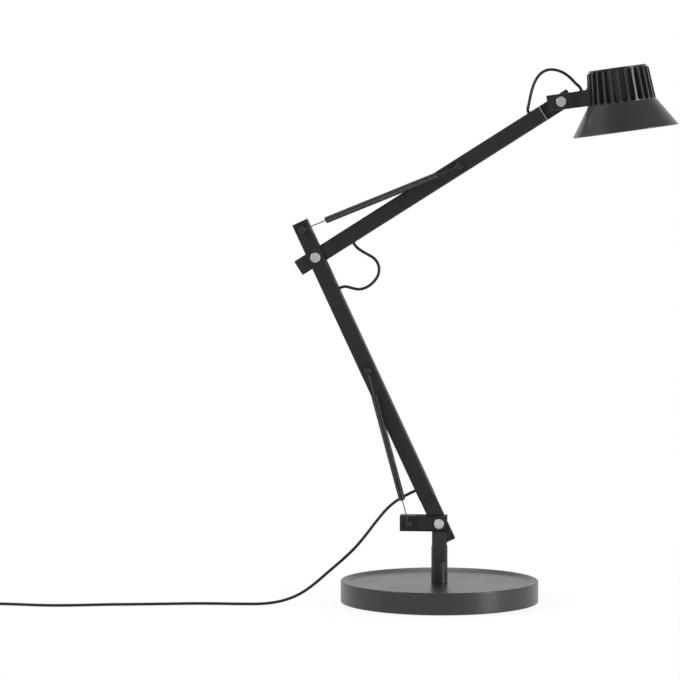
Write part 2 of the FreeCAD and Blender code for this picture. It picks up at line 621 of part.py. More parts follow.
# Head: fork, heat sink, cap, shade and what the shade holds.
def make_head():
    fork = start("wrist_fork", head_frame)
    square_bar(fork, -mm.fork_back, mm.fork_end)
    above = mm.bar_half + mm.cut_margin
    mouth = -mm.fork_back - mm.cut_margin
    pocket(fork, "XZ_Plane", [block(mouth, mm.fork_floor, -above, above)], mm.bar_inner * 2, both=True)
    pocket(fork, "XZ_Plane", [ring(0, 0, mm.pin_hole)], both=True)
    screws = start("fork_screws", head_frame)
    shafts, seats, heads = (
        [ring(mm.fork_screw_side * side, -mm.fork_screw_drop, radius) for side in (1, -1)]
        for radius in (mm.fork_screw_radius, mm.fork_screw_seat, mm.fork_screw_head_radius)
    )
    seat_floor = mm.fork_floor + mm.fork_screw_seat_depth
    pocket(fork, "YZ_Plane", shafts, offset=mm.fork_floor, onward=True)
    pocket(fork, "YZ_Plane", seats, mm.fork_screw_seat_depth, offset=mm.fork_floor, onward=True)
    pad(screws, "YZ_Plane", heads, mm.fork_screw_head, offset=seat_floor - mm.fork_screw_head)
    pad(screws, "YZ_Plane", shafts, mm.fork_screw_reach, offset=seat_floor)
    make_pivot("wrist_pivot", head_frame, 0)
    paired_rings("wrist_spacers", head_frame, 0, mm.spacer_inner, mm.spacer_outer, mm.spacer_radius)
    make_grommet("wrist_grommet_head", head_frame, mm.head_entry.value, True)

    sink = start("heat_sink", sink_frame)
    revolve(sink, [[
        (0, mm.spigot_bottom), (mm.sink_spigot, mm.spigot_bottom), (mm.sink_spigot, mm.sink_bottom),
        (mm.sink_radius_bottom, mm.sink_bottom), (mm.sink_radius_top, mm.sink_shoulder),
        (mm.sink_chamfer_radius, mm.sink_top), (0, mm.sink_top),
    ]])
    groove = sink.newObject("PartDesign::SubtractiveLoft", "sink_groove")
    groove.Profile, outside = (
        outline_on(sink, "YZ_Plane", [groove_outline(half)], offset=radius)
        for half, radius in ((mm.groove_root_half, mm.groove_root), (mm.groove_reach_half, mm.groove_reach))
    )
    groove.Sections = [outside]
    groove.Ruled = True
    around(sink, [groove], mm.fin_count)
    back = -mm.head_centre
    boss = [
        (mm.fork_end + back, -mm.bar_half), (mm.flare_start + back, -mm.bar_half),
        (mm.flare_start + mm.flare_radius + back, mm.sink_bottom), (mm.boss_end + back, mm.sink_bottom),
        (mm.boss_end + back, mm.bar_half + mm.flare_radius),
        (mm.flare_start + mm.flare_radius + back, mm.bar_half + mm.flare_radius),
        (mm.flare_start + back, mm.bar_half, mm.flare_radius, -1), (mm.fork_end + back, mm.bar_half),
    ]
    pad(sink, "XZ_Plane", [boss], mm.bar_half * 2, both=True)
    spread = math.radians(1.5 * 360 / mm.fin_count.value)
    near_x, near_y = -mm.web_inner * math.cos(spread), mm.web_inner * math.sin(spread)
    far_x, far_y = -mm.web_outer * math.cos(spread), mm.web_outer * math.sin(spread)
    web = [(near_x, -near_y), (near_x, near_y), (far_x, far_y), (far_x, -far_y, mm.web_outer, 1)]
    pad(sink, "XY_Plane", [web], mm.web_top - mm.sink_bottom, offset=mm.sink_bottom)
    pocket(sink, "XY_Plane", [ring(0, 0, mm.cavity_radius)], offset=mm.cavity_floor, onward=True)
    carve_channel(sink, Size(0.0, "0"), mm.head_entry + back, -1)
    pocket(sink, "YZ_Plane", shafts, mm.fork_screw_hole, offset=mm.fork_end + back, onward=True)

    cap_hole = mm.button_hole
    turned("top_cap", [[
        (cap_hole, mm.sink_top), (mm.top_cap_neck, mm.sink_top), (mm.top_cap_neck, mm.top_cap_bottom),
        (mm.top_cap_radius, mm.top_cap_bottom), (mm.top_cap_radius, mm.top_cap_top - mm.cap_bevel),
        (mm.top_cap_radius - mm.cap_bevel, mm.top_cap_top), (cap_hole, mm.top_cap_top),
    ]], sink_frame)
    turned("power_button", [[
        (0, mm.button_stem_bottom), (mm.button_stem, mm.button_stem_bottom),
        (mm.button_stem, mm.button_flange_bottom), (mm.button_flange_radius, mm.button_flange_bottom),
        (mm.button_flange_radius, mm.button_flange_top), (mm.button_radius, mm.button_flange_top),
        (mm.button_radius, mm.button_top - mm.cap_bevel), (mm.button_radius - mm.cap_bevel, mm.button_top),
        (0, mm.button_top),
    ]], sink_frame)
    switch = start("switch_module", sink_frame)
    pad(switch, "XY_Plane", [block(-mm.switch_half, mm.switch_half, -mm.switch_half, mm.switch_half)],
        mm.switch_top - mm.switch_bottom, offset=mm.switch_bottom)
    pocket(switch, "XY_Plane", [ring(0, 0, mm.switch_bore)], offset=mm.switch_bore_floor, onward=True)

    wall = mm.shade_wall
    roof = mm.sink_bottom - mm.shade_roof
    slope = (mm.shade_rim_radius - mm.sink_radius_bottom) / (mm.sink_bottom - mm.shade_rim)
    under_roof = mm.sink_radius_bottom - wall + slope * mm.shade_roof
    shade = turned("shade", [[
        (mm.sink_spigot, mm.sink_bottom), (mm.sink_radius_bottom, mm.sink_bottom),
        (mm.shade_rim_radius, mm.shade_rim), (mm.shade_rim_radius - wall, mm.shade_rim),
        (under_roof, roof), (mm.sink_spigot, roof),
    ]], sink_frame)
    soften(shade, mm.shade_lip, circle_at(mm.shade_rim_radius.value, mm.shade_rim.value))

    board_top = mm.spigot_bottom
    board_bottom = board_top - mm.board_thickness
    turned("led_board", [[
        (0, board_bottom), (mm.board_radius, board_bottom), (mm.board_radius, board_top), (0, board_top),
    ]], sink_frame)
    turned("reflector", [[
        (mm.reflector_top, mm.spigot_bottom), (mm.reflector_top + mm.reflector_wall, mm.spigot_bottom),
        (mm.reflector_rim + mm.reflector_wall, mm.diffuser_top), (mm.reflector_rim, mm.diffuser_top),
    ]], sink_frame)
    diffuser_bottom = mm.diffuser_top - mm.diffuser_thickness
    turned("diffuser", [[
        (0, diffuser_bottom), (mm.diffuser_radius, diffuser_bottom), (mm.diffuser_radius, mm.diffuser_top),
        (0, mm.diffuser_top),
    ]], sink_frame)
    turned("retaining_ring", [[
        (mm.ring_inner, diffuser_bottom - mm.ring_thickness),
        (mm.ring_outer, diffuser_bottom - mm.ring_thickness),
        (mm.ring_outer, diffuser_bottom), (mm.ring_inner, diffuser_bottom),
    ]], sink_frame)


def solid_piece(label, shape):
    piece = doc.addObject("Part::Feature", label)
    piece.Label = label
    piece.Shape = shape
    pieces[label] = piece


def make_spring(label, anchor, stud, hook_anchor, hook_stud):
    """A close-wound spring as its outer form, with a loop round the stud at each end."""
    wire = mm.spring_wire.value
    neck = mm.stud_neck.value + wire + mm.spring_loop_gap.value
    axis = stud - anchor
    way = Vector(axis).normalize()
    length = axis.Length
    coil_length = length - hook_anchor.value - hook_stud.value
    coil = Part.makeCylinder(mm.spring_radius.value, coil_length, anchor + way * hook_anchor.value, way)
    shape = coil
    for end, out in ((anchor, way), (stud, -way)):
        hook = hook_anchor.value if out is way else hook_stud.value
        loop = Part.makeTorus(neck, wire, end, Vector(0, 1, 0))
        shank = Part.makeCylinder(wire, hook - neck + wire, end + out * neck, out)
        shape = shape.fuse(loop).fuse(shank)
    solid_piece(label, shape.removeSplitter())
    print(label, "length", round(length, 1), "coil", round(coil_length, 1))


def spring_point(frame, along, height=0.0):
    point = frame.multVec(Vector(along, 0, height))
    point.y = -mm.spring_plane.value
    return point


def make_springs():
    yoke_end = spring_point(yoke_frame, -mm.yoke_stud.value)
    arm_end = spring_point(lower_frame, mm.lower_stud.value)
    make_spring("lower_spring", yoke_end, arm_end, mm.lower_hook_near_yoke, mm.lower_hook_near_arm)
    elbow_end = spring_point(lower_frame, mm.lower_length.value + mm.anchor_past_elbow.value)
    arm_end = spring_point(upper_frame, mm.upper_stud.value)
    make_spring("upper_spring", elbow_end, arm_end, mm.upper_hook_near_elbow, mm.upper_hook_near_arm)


# Leads: straight runs joined by tangent arcs, as large as the two runs allow.
ARC_SHARE = 0.45
VOLUME_TOLERANCE = 0.02


def make_lead(label, points):
    """A round lead along the points of its route."""
    edges = []
    begin = points[0]
    radii = []
    for before, here, after in zip(points, points[1:], points[2:]):
        back, onward = before - here, after - here
        turn = math.pi - back.getAngle(onward)
        cut = ARC_SHARE * min(back.Length, onward.Length)
        radius = cut / math.tan(turn / 2)
        back.normalize()
        onward.normalize()
        first, last = here + back * cut, here + onward * cut
        bisector = (back + onward).normalize()
        centre = here + bisector * (radius / math.cos(turn / 2))
        middle = centre - bisector * radius
        edges.append(Part.LineSegment(begin, first).toShape())
        edges.append(Part.Arc(first, middle, last).toShape())
        radii.append(round(radius, 1))
        begin = last
    edges.append(Part.LineSegment(begin, points[-1]).toShape())
    path = Part.Wire(edges)
    section = Part.Wire(Part.makeCircle(mm.lead_radius.value, points[0], points[1] - points[0]))
    tube = path.makePipeShell([section], True, True)
    expected = math.pi * mm.lead_radius.value ** 2 * path.Length
    ratio = tube.Volume / expected
    print(label, "radii", radii, "length", round(path.Length, 1), "volume ratio", round(ratio, 4))
    if abs(ratio - 1) > VOLUME_TOLERANCE:
        raise RuntimeError(f"{label}: its volume isn't its section times its length")
    solid_piece(label, tube)


FLOOR_LEAD = [
    (-50.2, -2.2, 97.2), (-61.6, -4.6, 83.8), (-72.4, -8.0, 69.4),
    (-83.4, -12.0, 55.8), (-96.6, -17.2, 43.4), (-110.6, -22.6, 31.6), (-123.8, -27.6, 20.0),
    (-137.6, -32.6, 10.4), (-153.4, -37.0, 4.4), (-171.6, -40.6, 1.6), (-194.6, -43.2, 1.55),
    (-220.4, -42.6, 1.6), (-245.0, -43.8, 1.55), (-271.0, -50.0, 1.6), (-301.0, -55.4, 1.55),
    (-331.0, -60.6, 1.6), (-360.0, -69.2, 1.55), (-390.0, -72.6, 1.6), (-418.0, -66.6, 1.55),
    (-444.0, -64.6, 1.6), (-468.0, -66.0, 1.55),
]
ELBOW_LOOP = [
    (-79.6, 0, 353.4), (-72.8, 0, 349.6), (-65.2, 0, 345.4), (-60.8, 0, 338.0), (-61.3, 0, 329.0),
    (-66.6, 0, 321.3), (-73.8, 0, 316.0), (-81.2, 0, 314.1), (-87.9, 0, 315.5), (-93.7, 0, 317.2),
]
WRIST_LOOP = [
    (88.0, 0, 498.0), (89.5, 0, 506.6), (91.6, 0, 515.4), (94.9, 0, 523.8), (100.2, 0, 530.6),
    (107.3, 0, 533.9), (115.2, 0, 533.5), (122.8, 0, 530.6), (129.5, 0, 525.5), (134.6, 0, 519.8),
]


def along_bar(frame, route):
    """The route of a lead inside a bar, from its length and height there."""
    return [frame.multVec(Vector(number(along), 0, number(height))) for along, height in route]


def straight_out(frame, along, side, reach):
    """The point where a lead leaves its grommet, and the end of its straight run out of it."""
    face = mm.bar_half + mm.grommet_height
    return along_bar(frame, [(along, face * side), (along, (face + reach) * side)])


def inner_route(low, high, low_side, high_side):
    """A lead's route inside a bar, from one grommet's outer face to another's."""
    face, turn, run = mm.bar_half + mm.grommet_height, mm.lead_turn_height, mm.lead_turn_run
    return [
        (low, face * low_side), (low, turn * low_side), (low + run, 0), (high - run, mm.lead_slack),
        (high, turn * high_side), (high, face * high_side),
    ]


def make_leads():
    floor_start = straight_out(lower_frame, mm.lower_exit, 1, mm.floor_lead_straight)
    make_lead("floor_lead", floor_start + [Vector(*point) for point in FLOOR_LEAD])
    loop_start = straight_out(upper_frame, mm.upper_exit, -1, mm.elbow_loop_straight)
    loop_end = straight_out(lower_frame, mm.lower_entry, -1, mm.elbow_entry_straight)
    make_lead("elbow_loop", loop_start + [Vector(*point) for point in ELBOW_LOOP] + loop_end[::-1])
    loop_start = straight_out(upper_frame, mm.tip_exit, 1, mm.wrist_loop_straight)
    loop_end = straight_out(head_frame, mm.head_entry, 1, mm.wrist_loop_straight)
    make_lead("wrist_loop", loop_start + [Vector(*point) for point in WRIST_LOOP] + loop_end[::-1])
    make_lead("lower_arm_lead", along_bar(lower_frame, inner_route(mm.lower_exit, mm.lower_entry, 1, -1)))
    make_lead("upper_arm_lead", along_bar(upper_frame, inner_route(mm.upper_exit, mm.tip_exit, -1, 1)))
    face = mm.bar_half + mm.grommet_height
    wall = mm.head_centre - mm.switch_half
    make_lead("head_lead", along_bar(head_frame, [
        (mm.head_entry, face), (mm.head_entry, mm.lead_turn_height),
        (mm.head_entry + mm.lead_turn_run, mm.lead_slack),
        (wall - mm.head_lead_end_run, 0), (wall, mm.lead_slack),
    ]))


def make_adapter():
    """The put-away coil of the lead, and the plug-in adapter on its end."""
    edge = mm.coil_edge
    inner, outer, height = mm.coil_inner, mm.coil_outer, mm.coil_height
    turned("lead_coil", [[
        (inner + edge, 0, edge, 1), (outer - edge, 0), (outer, edge, edge, 1), (outer, height - edge),
        (outer - edge, height, edge, 1), (inner + edge, height), (inner, height - edge, edge, 1),
        (inner, edge),
    ]], Placement(Vector(mm.coil_x.value, mm.coil_y.value, 0), Rotation()))
    adapter = start("adapter_body", Placement(Vector(mm.adapter_x.value, mm.adapter_y.value, 0), Rotation()))
    half, corner = mm.adapter_half_width, mm.adapter_corner
    pad(adapter, "XY_Plane", [block(-half, half, -mm.adapter_length, 0)], mm.adapter_height)
    soften(adapter, corner, lambda edge: abs(edge.tangentAt(edge.FirstParameter).z) > 0.99)
    soften(adapter, mm.adapter_edge, lambda edge: abs(edge.CenterOfMass.z - mm.adapter_height.value) < 0.01)
    lead_height = mm.coil_height - mm.lead_radius
    back = Placement(Vector(0, 0, lead_height.value), Rotation(Vector(1, 0, 0), -90))
    turned("strain_relief", [[
        (0, 0), (mm.relief_radius, 0), (mm.relief_tip_radius, mm.relief_length), (0, mm.relief_length),
    ]], adapter.Placement * back)
    pins = start("adapter_pins", adapter.Placement)
    middle = mm.adapter_height / 2
    spots = [ring(side * mm.plug_pin_half_pitch, middle, mm.plug_pin_radius) for side in (1, -1)]
    pad(pins, "XZ_Plane", spots, mm.plug_pin_length, offset=mm.adapter_length)


make_base()
make_post()
make_yoke()
make_pivot("lower_pivot", yoke_frame, 0)
make_stud("lower_spring_anchor", yoke_frame, -mm.yoke_stud.value)
make_lower_arm()
make_upper_arm()
make_head()
make_springs()
make_leads()
make_adapter()
doc.recompute()

faults = [item.Name for item in doc.Objects if {"Invalid", "Error"} & set(item.State)]
faults += [label for label, piece in pieces.items() if piece.Shape.isNull() or not piece.Shape.isValid()]
if faults:
    raise RuntimeError(f"not built: {faults}")
os.makedirs("parts", exist_ok=True)
for label, piece in pieces.items():
    print(label, "solids", len(piece.Shape.Solids), "volume", round(piece.Shape.Volume, 1))
    piece.Shape.exportStep(os.path.join("parts", f"{label}.step"))
print(len(pieces), "pieces")
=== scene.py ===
"""The looks of a balanced-arm desk lamp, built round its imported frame."""

import json
import math

import bmesh
import bpy
from bpy.props import FloatProperty, FloatVectorProperty, IntProperty, PointerProperty
from mathutils import Matrix, Vector


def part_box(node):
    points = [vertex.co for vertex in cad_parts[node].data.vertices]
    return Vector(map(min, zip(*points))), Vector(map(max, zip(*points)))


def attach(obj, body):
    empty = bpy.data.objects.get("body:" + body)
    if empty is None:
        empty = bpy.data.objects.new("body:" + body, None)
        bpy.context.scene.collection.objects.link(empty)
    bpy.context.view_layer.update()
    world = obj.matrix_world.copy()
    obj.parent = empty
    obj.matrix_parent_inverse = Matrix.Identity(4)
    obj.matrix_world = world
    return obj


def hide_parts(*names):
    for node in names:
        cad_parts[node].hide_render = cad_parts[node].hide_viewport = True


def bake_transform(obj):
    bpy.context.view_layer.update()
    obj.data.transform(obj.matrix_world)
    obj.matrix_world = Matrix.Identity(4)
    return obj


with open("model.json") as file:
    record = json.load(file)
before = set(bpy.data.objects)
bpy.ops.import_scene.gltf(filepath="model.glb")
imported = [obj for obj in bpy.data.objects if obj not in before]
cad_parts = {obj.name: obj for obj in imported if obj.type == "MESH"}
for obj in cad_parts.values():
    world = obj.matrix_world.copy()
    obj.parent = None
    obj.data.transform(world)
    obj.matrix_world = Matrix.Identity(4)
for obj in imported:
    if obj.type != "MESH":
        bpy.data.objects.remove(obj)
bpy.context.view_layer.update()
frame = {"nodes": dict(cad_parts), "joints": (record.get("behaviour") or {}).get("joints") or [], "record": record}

bl_info = {
    "name": "Balanced-arm desk lamp",
    "version": (1, 0, 0),
    "blender": (4, 5, 0),
    "location": "View3D > Sidebar > Desk lamp",
    "description": "Builds the finishes, springs and leads of a desk lamp on its frame",
    "category": "Object",
}

MM = 0.001
PIVOT = {joint["name"]: Vector(joint["pos_m"]) for joint in frame["joints"] if "pos_m" in joint}
LOWER_PIVOT, ELBOW, WRIST = PIVOT["lower_arm_tilt"], PIVOT["elbow"], PIVOT["head_tilt"]
LOWER_WAY = (ELBOW - LOWER_PIVOT).normalized()
UPPER_WAY = (WRIST - ELBOW).normalized()
HEAD_DOWN = Vector(next(joint["axis"] for joint in frame["joints"] if joint["name"] == "button_press"))
HEAD_WAY = Vector((-HEAD_DOWN.z, 0, HEAD_DOWN.x))
NEAR = Vector((0, -1, 0))
ACROSS = (0, 1, 0)
BUTTON_LOW, BUTTON_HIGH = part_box("power_button")
HEAD_CENTRE = WRIST + HEAD_WAY * ((BUTTON_LOW + BUTTON_HIGH) / 2 - WRIST).dot(HEAD_WAY)


def left_of(way):
    """The upper or left side of a bar that runs along a direction in the lamp's plane."""
    return Vector((-way.z, 0, way.x))


class LampSizes(bpy.types.PropertyGroup):
    """Sizes that the CAD frame leaves to the looks."""

    lead_diameter: FloatProperty(
        name="Lead diameter", description="Outside of the lead's sheath",
        default=3.0 * MM, unit="LENGTH")
    lead_length: FloatProperty(
        name="Lead length", description="Whole length from the arm to the adapter",
        default=1.8, unit="LENGTH")
    coil_radius: FloatProperty(
        name="Coil radius", description="Middle radius of the put-away coil",
        default=16.5 * MM, unit="LENGTH")
    spring_wire: FloatProperty(
        name="Spring wire", description="Diameter of the balance springs' wire",
        default=1.1 * MM, unit="LENGTH")
    spring_diameter: FloatProperty(
        name="Spring diameter", description="Outside of the balance springs",
        default=6.9 * MM, unit="LENGTH")
    relief_ribs: IntProperty(
        name="Relief ribs", description="Rings on the adapter's strain relief", default=6, min=2)


class LampColours(bpy.types.PropertyGroup):
    """The lamp's paints, as linear colours."""

    arms: FloatVectorProperty(
        name="Arms", description="Satin black of the arms",
        size=3, subtype="COLOR", default=(0.016, 0.016, 0.017))
    base: FloatVectorProperty(
        name="Base", description="Graphite of the base",
        size=3, subtype="COLOR", default=(0.014, 0.014, 0.015))
    shade: FloatVectorProperty(
        name="Shade", description="Graphite of the shade",
        size=3, subtype="COLOR", default=(0.03, 0.03, 0.032))
    lead: FloatVectorProperty(
        name="Lead", description="Black sheath of the lead",
        size=3, subtype="COLOR", default=(0.007, 0.007, 0.0075))


# Shader maths.
class Wire:
    """A value or vector that leaves a shader node. Arithmetic on it adds nodes."""

    def __init__(self, shader, socket):
        self.shader = shader
        self.socket = socket

    def math(self, operation, first, second=0.0):
        return self.shader.node("ShaderNodeMath", {"operation": operation}, {0: first, 1: second})

    def __add__(self, other):
        return self.math("ADD", self, other)

    def __sub__(self, other):
        return self.math("SUBTRACT", self, other)

    def __mul__(self, other):
        return self.math("MULTIPLY", self, other)

    def __rsub__(self, other):
        return self.math("SUBTRACT", other, self)

    def clip(self, low, high):
        """0 below low, 1 above high, and smooth between."""
        return self.shader.node("ShaderNodeMapRange", {"interpolation_type": "SMOOTHSTEP"}, {
            "Value": self, "From Min": low, "From Max": high})


class Shader:
    """One material's node tree."""

    def __init__(self, name, tree=None):
        self.material = None if tree else bpy.data.materials.new(name)
        if self.material:
            self.material.use_nodes = True
        self.tree = tree or self.material.node_tree
        self.tree.nodes.clear()

    def node(self, kind, settings=None, sockets=None, out=0):
        """Adds a node: its settings first, then its sockets' values or links; gives one output."""
        node = self.tree.nodes.new(kind)
        for name, value in (settings or {}).items():
            setattr(node, name, value)
        for key, value in (sockets or {}).items():
            socket = self.find(node.inputs, key)
            if isinstance(value, Wire):
                self.tree.links.new(value.socket, socket)
            else:
                socket.default_value = value
        return Wire(self, self.find(node.outputs, out))

    @staticmethod
    def find(sockets, key):
        """A socket by its number, its identifier or its name."""
        if isinstance(key, int):
            return sockets[key]
        for socket in sockets:
            if socket.identifier == key:
                return socket
        return sockets[key]

    def place(self, centre=(0, 0, 0), scale=(1, 1, 1)):
        """Object coordinates in metres, measured from a centre."""
        where = self.node("ShaderNodeTexCoord", out="Object")
        shifted = self.node("ShaderNodeVectorMath", {"operation": "SUBTRACT"}, {0: where, 1: tuple(centre)})
        return self.node("ShaderNodeVectorMath", {"operation": "MULTIPLY"}, {0: shifted, 1: scale})

    def along(self, direction, centre=(0, 0, 0)):
        """How far a point lies along a direction from a centre, in metres."""
        return self.node("ShaderNodeVectorMath", {"operation": "DOT_PRODUCT"},
                         {0: self.place(centre), 1: tuple(direction)}, out="Value")

    def distance(self, direction, centre=(0, 0, 0)):
        """How far a point lies to either side of a centre along a direction."""
        return self.node("ShaderNodeMath", {"operation": "ABSOLUTE"}, {0: self.along(direction, centre)})

    def noise(self, scale, detail=2.0, roughness=0.5):
        return self.node("ShaderNodeTexNoise", {"noise_dimensions": "3D"}, {
            "Vector": self.place(), "Scale": scale, "Detail": detail, "Roughness": roughness,
        })

    def blend(self, amount, first, second):
        """A colour between two."""
        return self.node("ShaderNodeMix", {"data_type": "RGBA"}, {
            "Factor_Float": amount, "A_Color": colour4(first), "B_Color": colour4(second),
        }, out="Result_Color")

    def bump(self, height, distance, strength=1.0, under=None):
        sockets = {"Height": height, "Distance": distance, "Strength": strength}
        if under is not None:
            sockets["Normal"] = under
        return self.node("ShaderNodeBump", None, sockets)

    def surface(self, **sockets):
        """Closes the material with one principled surface."""
        named = {key.replace("_", " "): value for key, value in sockets.items()}
        return self.close(self.node("ShaderNodeBsdfPrincipled", None, named, out="BSDF"))

    def close(self, shader):
        output = self.tree.nodes.new("ShaderNodeOutputMaterial")
        self.tree.links.new(shader.socket, output.inputs["Surface"])
        return self.material


def colour4(colour):
    if isinstance(colour, Wire):
        return colour
    return (*colour, 1.0) if len(colour) == 3 else tuple(colour)


def tinted(colour, factor):
    return tuple(channel * factor for channel in colour[:3])


# Finishes.
def powder_coat(name, colour, roughness, specular):
    """A baked powder paint: a fine orange peel, slight mottling and a dusting of brighter specks."""
    paint = Shader(name)
    mottle = paint.noise(38, detail=4)
    peel = paint.noise(1500, detail=2)
    dust = paint.noise(420, detail=5, roughness=0.7).clip(0.62, 0.8)
    body = paint.blend(mottle, tinted(colour, 0.9), tinted(colour, 1.12))
    tone = paint.blend(dust * 0.25, body, tinted(colour, 1.7))
    return paint.surface(
        Base_Color=tone, Roughness=mottle * 0.1 + peel * 0.08 + (roughness - 0.09),
        Specular_IOR_Level=specular, Normal=paint.bump(peel, 0.03 * MM, 0.6),
    )


# How finely the draw lines of an extruded bar lie beside each other, per metre.
DRAW_LINES = 900.0


def extruded_paint(name, colour, way, roughness=0.48, specular=0.22):
    """Satin paint over an extruded bar: faint draw lines along it under a smooth coat."""
    paint = Shader(name)
    lengthwise = paint.along(way) * 6.0
    side = Vector(way).cross(Vector(ACROSS)).normalized()
    crosswise = paint.along(side) * DRAW_LINES
    depth = paint.along(ACROSS) * DRAW_LINES
    spot = paint.node("ShaderNodeCombineXYZ", None, {0: lengthwise, 1: crosswise, 2: depth})
    lines = paint.node("ShaderNodeTexNoise", {"noise_dimensions": "3D"}, {
        "Vector": spot, "Scale": 1.0, "Detail": 3.0, "Roughness": 0.6})
    haze = paint.noise(55, detail=3)
    tone = paint.blend(lines * 0.5 + haze * 0.5, tinted(colour, 0.82), tinted(colour, 1.22))
    return paint.surface(
        Base_Color=tone, Roughness=lines * 0.1 + haze * 0.08 + (roughness - 0.09),
        Specular_IOR_Level=specular, Normal=paint.bump(lines, 0.02 * MM, 0.5),
    )


def cast_paint(name, colour, roughness=0.38, specular=0.4):
    """Satin paint over a die casting, its skin slightly uneven."""
    paint = Shader(name)
    skin = paint.noise(240, detail=4)
    haze = paint.noise(45, detail=3)
    tone = paint.blend(haze, tinted(colour, 0.85), tinted(colour, 1.18))
    return paint.surface(
        Base_Color=tone, Roughness=haze * 0.14 + skin * 0.05 + (roughness - 0.1),
        Specular_IOR_Level=specular, Normal=paint.bump(skin, 0.04 * MM, 0.5),
    )


# Where the heat sink's colour turns into the boss's, from the head's centre towards the fork.
BOSS_START, BOSS_END = 29 * MM, 35 * MM


def sink_paint(name, fins, boss):
    """Satin paint over the cast heat sink, a shade deeper on the boss that meets the fork."""
    paint = Shader(name)
    skin = paint.noise(240, detail=4)
    haze = paint.noise(45, detail=3)
    towards_fork = paint.along(-HEAD_WAY, HEAD_CENTRE).clip(BOSS_START, BOSS_END)
    tone = paint.blend(towards_fork, paint.blend(haze, tinted(fins, 0.88), tinted(fins, 1.14)), boss)
    return paint.surface(
        Base_Color=tone, Roughness=towards_fork * 0.15 + haze * 0.1 + skin * 0.04 + 0.2,
        Specular_IOR_Level=0.45, Normal=paint.bump(skin, 0.03 * MM, 0.5),
    )


# The tip block's end face, along the upper arm from the elbow, and the painted highlight along its edge.
TIP_END = 269.1 * MM
PAINTED_HIGHLIGHT_START, PAINTED_HIGHLIGHT_FULL = TIP_END - 0.9 * MM, TIP_END - 0.5 * MM
PAINTED_HIGHLIGHT_END = TIP_END + 0.3 * MM
# How far from the arm's middle line the painted highlight begins, and where it is full.
RIM_START, RIM_FULL = 7.2 * MM, 7.5 * MM
# The painted highlight's colour: a bright grey that stands in for the light the end face's edge catches.
PAINTED_HIGHLIGHT_GREY = (0.3, 0.3, 0.31)


def tip_paint(name, colour):
    """The arm's tip block: satin paint, with a highlight painted bright grey along the edge of its end face."""
    paint = Shader(name)
    skin = paint.noise(240, detail=4)
    haze = paint.noise(45, detail=3)
    along = paint.along(UPPER_WAY, ELBOW)
    # Painted highlight: a band along the end face's edge is painted bright grey in place of the light it catches.
    band = along.clip(PAINTED_HIGHLIGHT_START, PAINTED_HIGHLIGHT_FULL) * (1.0 - along.clip(TIP_END, PAINTED_HIGHLIGHT_END))
    rim = paint.node("ShaderNodeMath", {"operation": "MAXIMUM"}, {
        0: paint.distance(ACROSS, ELBOW), 1: paint.distance(left_of(UPPER_WAY), ELBOW)})
    painted_highlight = band * rim.clip(RIM_START, RIM_FULL)
    coat = paint.blend(haze, tinted(colour, 0.85), tinted(colour, 1.18))
    tone = paint.blend(painted_highlight, coat, PAINTED_HIGHLIGHT_GREY)
    return paint.surface(
        Base_Color=tone, Roughness=haze * 0.14 + skin * 0.05 + 0.32, Specular_IOR_Level=0.3,
        Normal=paint.bump(skin, 0.04 * MM, 0.5),
    )


def turned_steel(name, colour, centre, roughness=0.34):
    """Steel faced on a lathe: fine rings round the pin's own axis, which runs across the lamp."""
    steel = Shader(name)
    flat = steel.place(centre, (1, 0, 1))
    radius = steel.node("ShaderNodeVectorMath", {"operation": "LENGTH"}, {0: flat}, out="Value")
    rings = steel.node("ShaderNodeTexNoise", {"noise_dimensions": "1D"}, {
        "W": radius * 5200.0, "Scale": 1.0, "Detail": 2.0})
    haze = steel.noise(600, detail=2)
    tone = steel.blend(rings * 0.6 + haze * 0.4, tinted(colour, 0.86), tinted(colour, 1.12))
    return steel.surface(
        Base_Color=tone, Metallic=0.9, Roughness=rings * 0.12 + haze * 0.08 + (roughness - 0.1),
        Normal=steel.bump(rings, 0.012 * MM, 0.5),
    )


def plated_metal(name, colour, roughness=0.35, metallic=0.9):
    """Plated or blackened metal with a slightly cloudy finish."""
    metal = Shader(name)
    haze = metal.noise(350, detail=3)
    bloom = metal.noise(70, detail=2)
    tone = metal.blend(bloom, tinted(colour, 0.85), tinted(colour, 1.12))
    return metal.surface(
        Base_Color=tone, Metallic=metallic, Roughness=haze * 0.16 + (roughness - 0.08),
        Normal=metal.bump(haze, 0.01 * MM, 0.5),
    )


def cast_iron(name, colour):
    """Raw cast iron: coarse grain, with patches of rust."""
    iron = Shader(name)
    grain = iron.noise(700, detail=6, roughness=0.7)
    patches = iron.noise(60, detail=4)
    tone = iron.blend(patches, tinted(colour, 0.7), (0.09, 0.07, 0.06))
    return iron.surface(
        Base_Color=tone, Metallic=0.5, Roughness=grain * 0.2 + 0.55,
        Normal=iron.bump(grain, 0.2 * MM, 0.8),
    )


def moulded_plastic(name, colour, roughness=0.5):
    """Moulded plastic with a fine spark-eroded grain."""
    plastic = Shader(name)
    pits = plastic.noise(2600, detail=2)
    haze = plastic.noise(90, detail=3)
    tone = plastic.blend(haze, tinted(colour, 0.88), tinted(colour, 1.14))
    return plastic.surface(
        Base_Color=tone, Roughness=haze * 0.1 + pits * 0.08 + (roughness - 0.09),
        Specular_IOR_Level=0.4, Normal=plastic.bump(pits, 0.03 * MM, 0.7),
    )


# The seam between the adapter's shells: its place from one side to the other, and half its width,
# inside which it is at its full depth and outside which it is gone.
SEAM_PLACE = 0.55
SEAM_FULL, SEAM_GONE = 0.15 * MM, 0.45 * MM


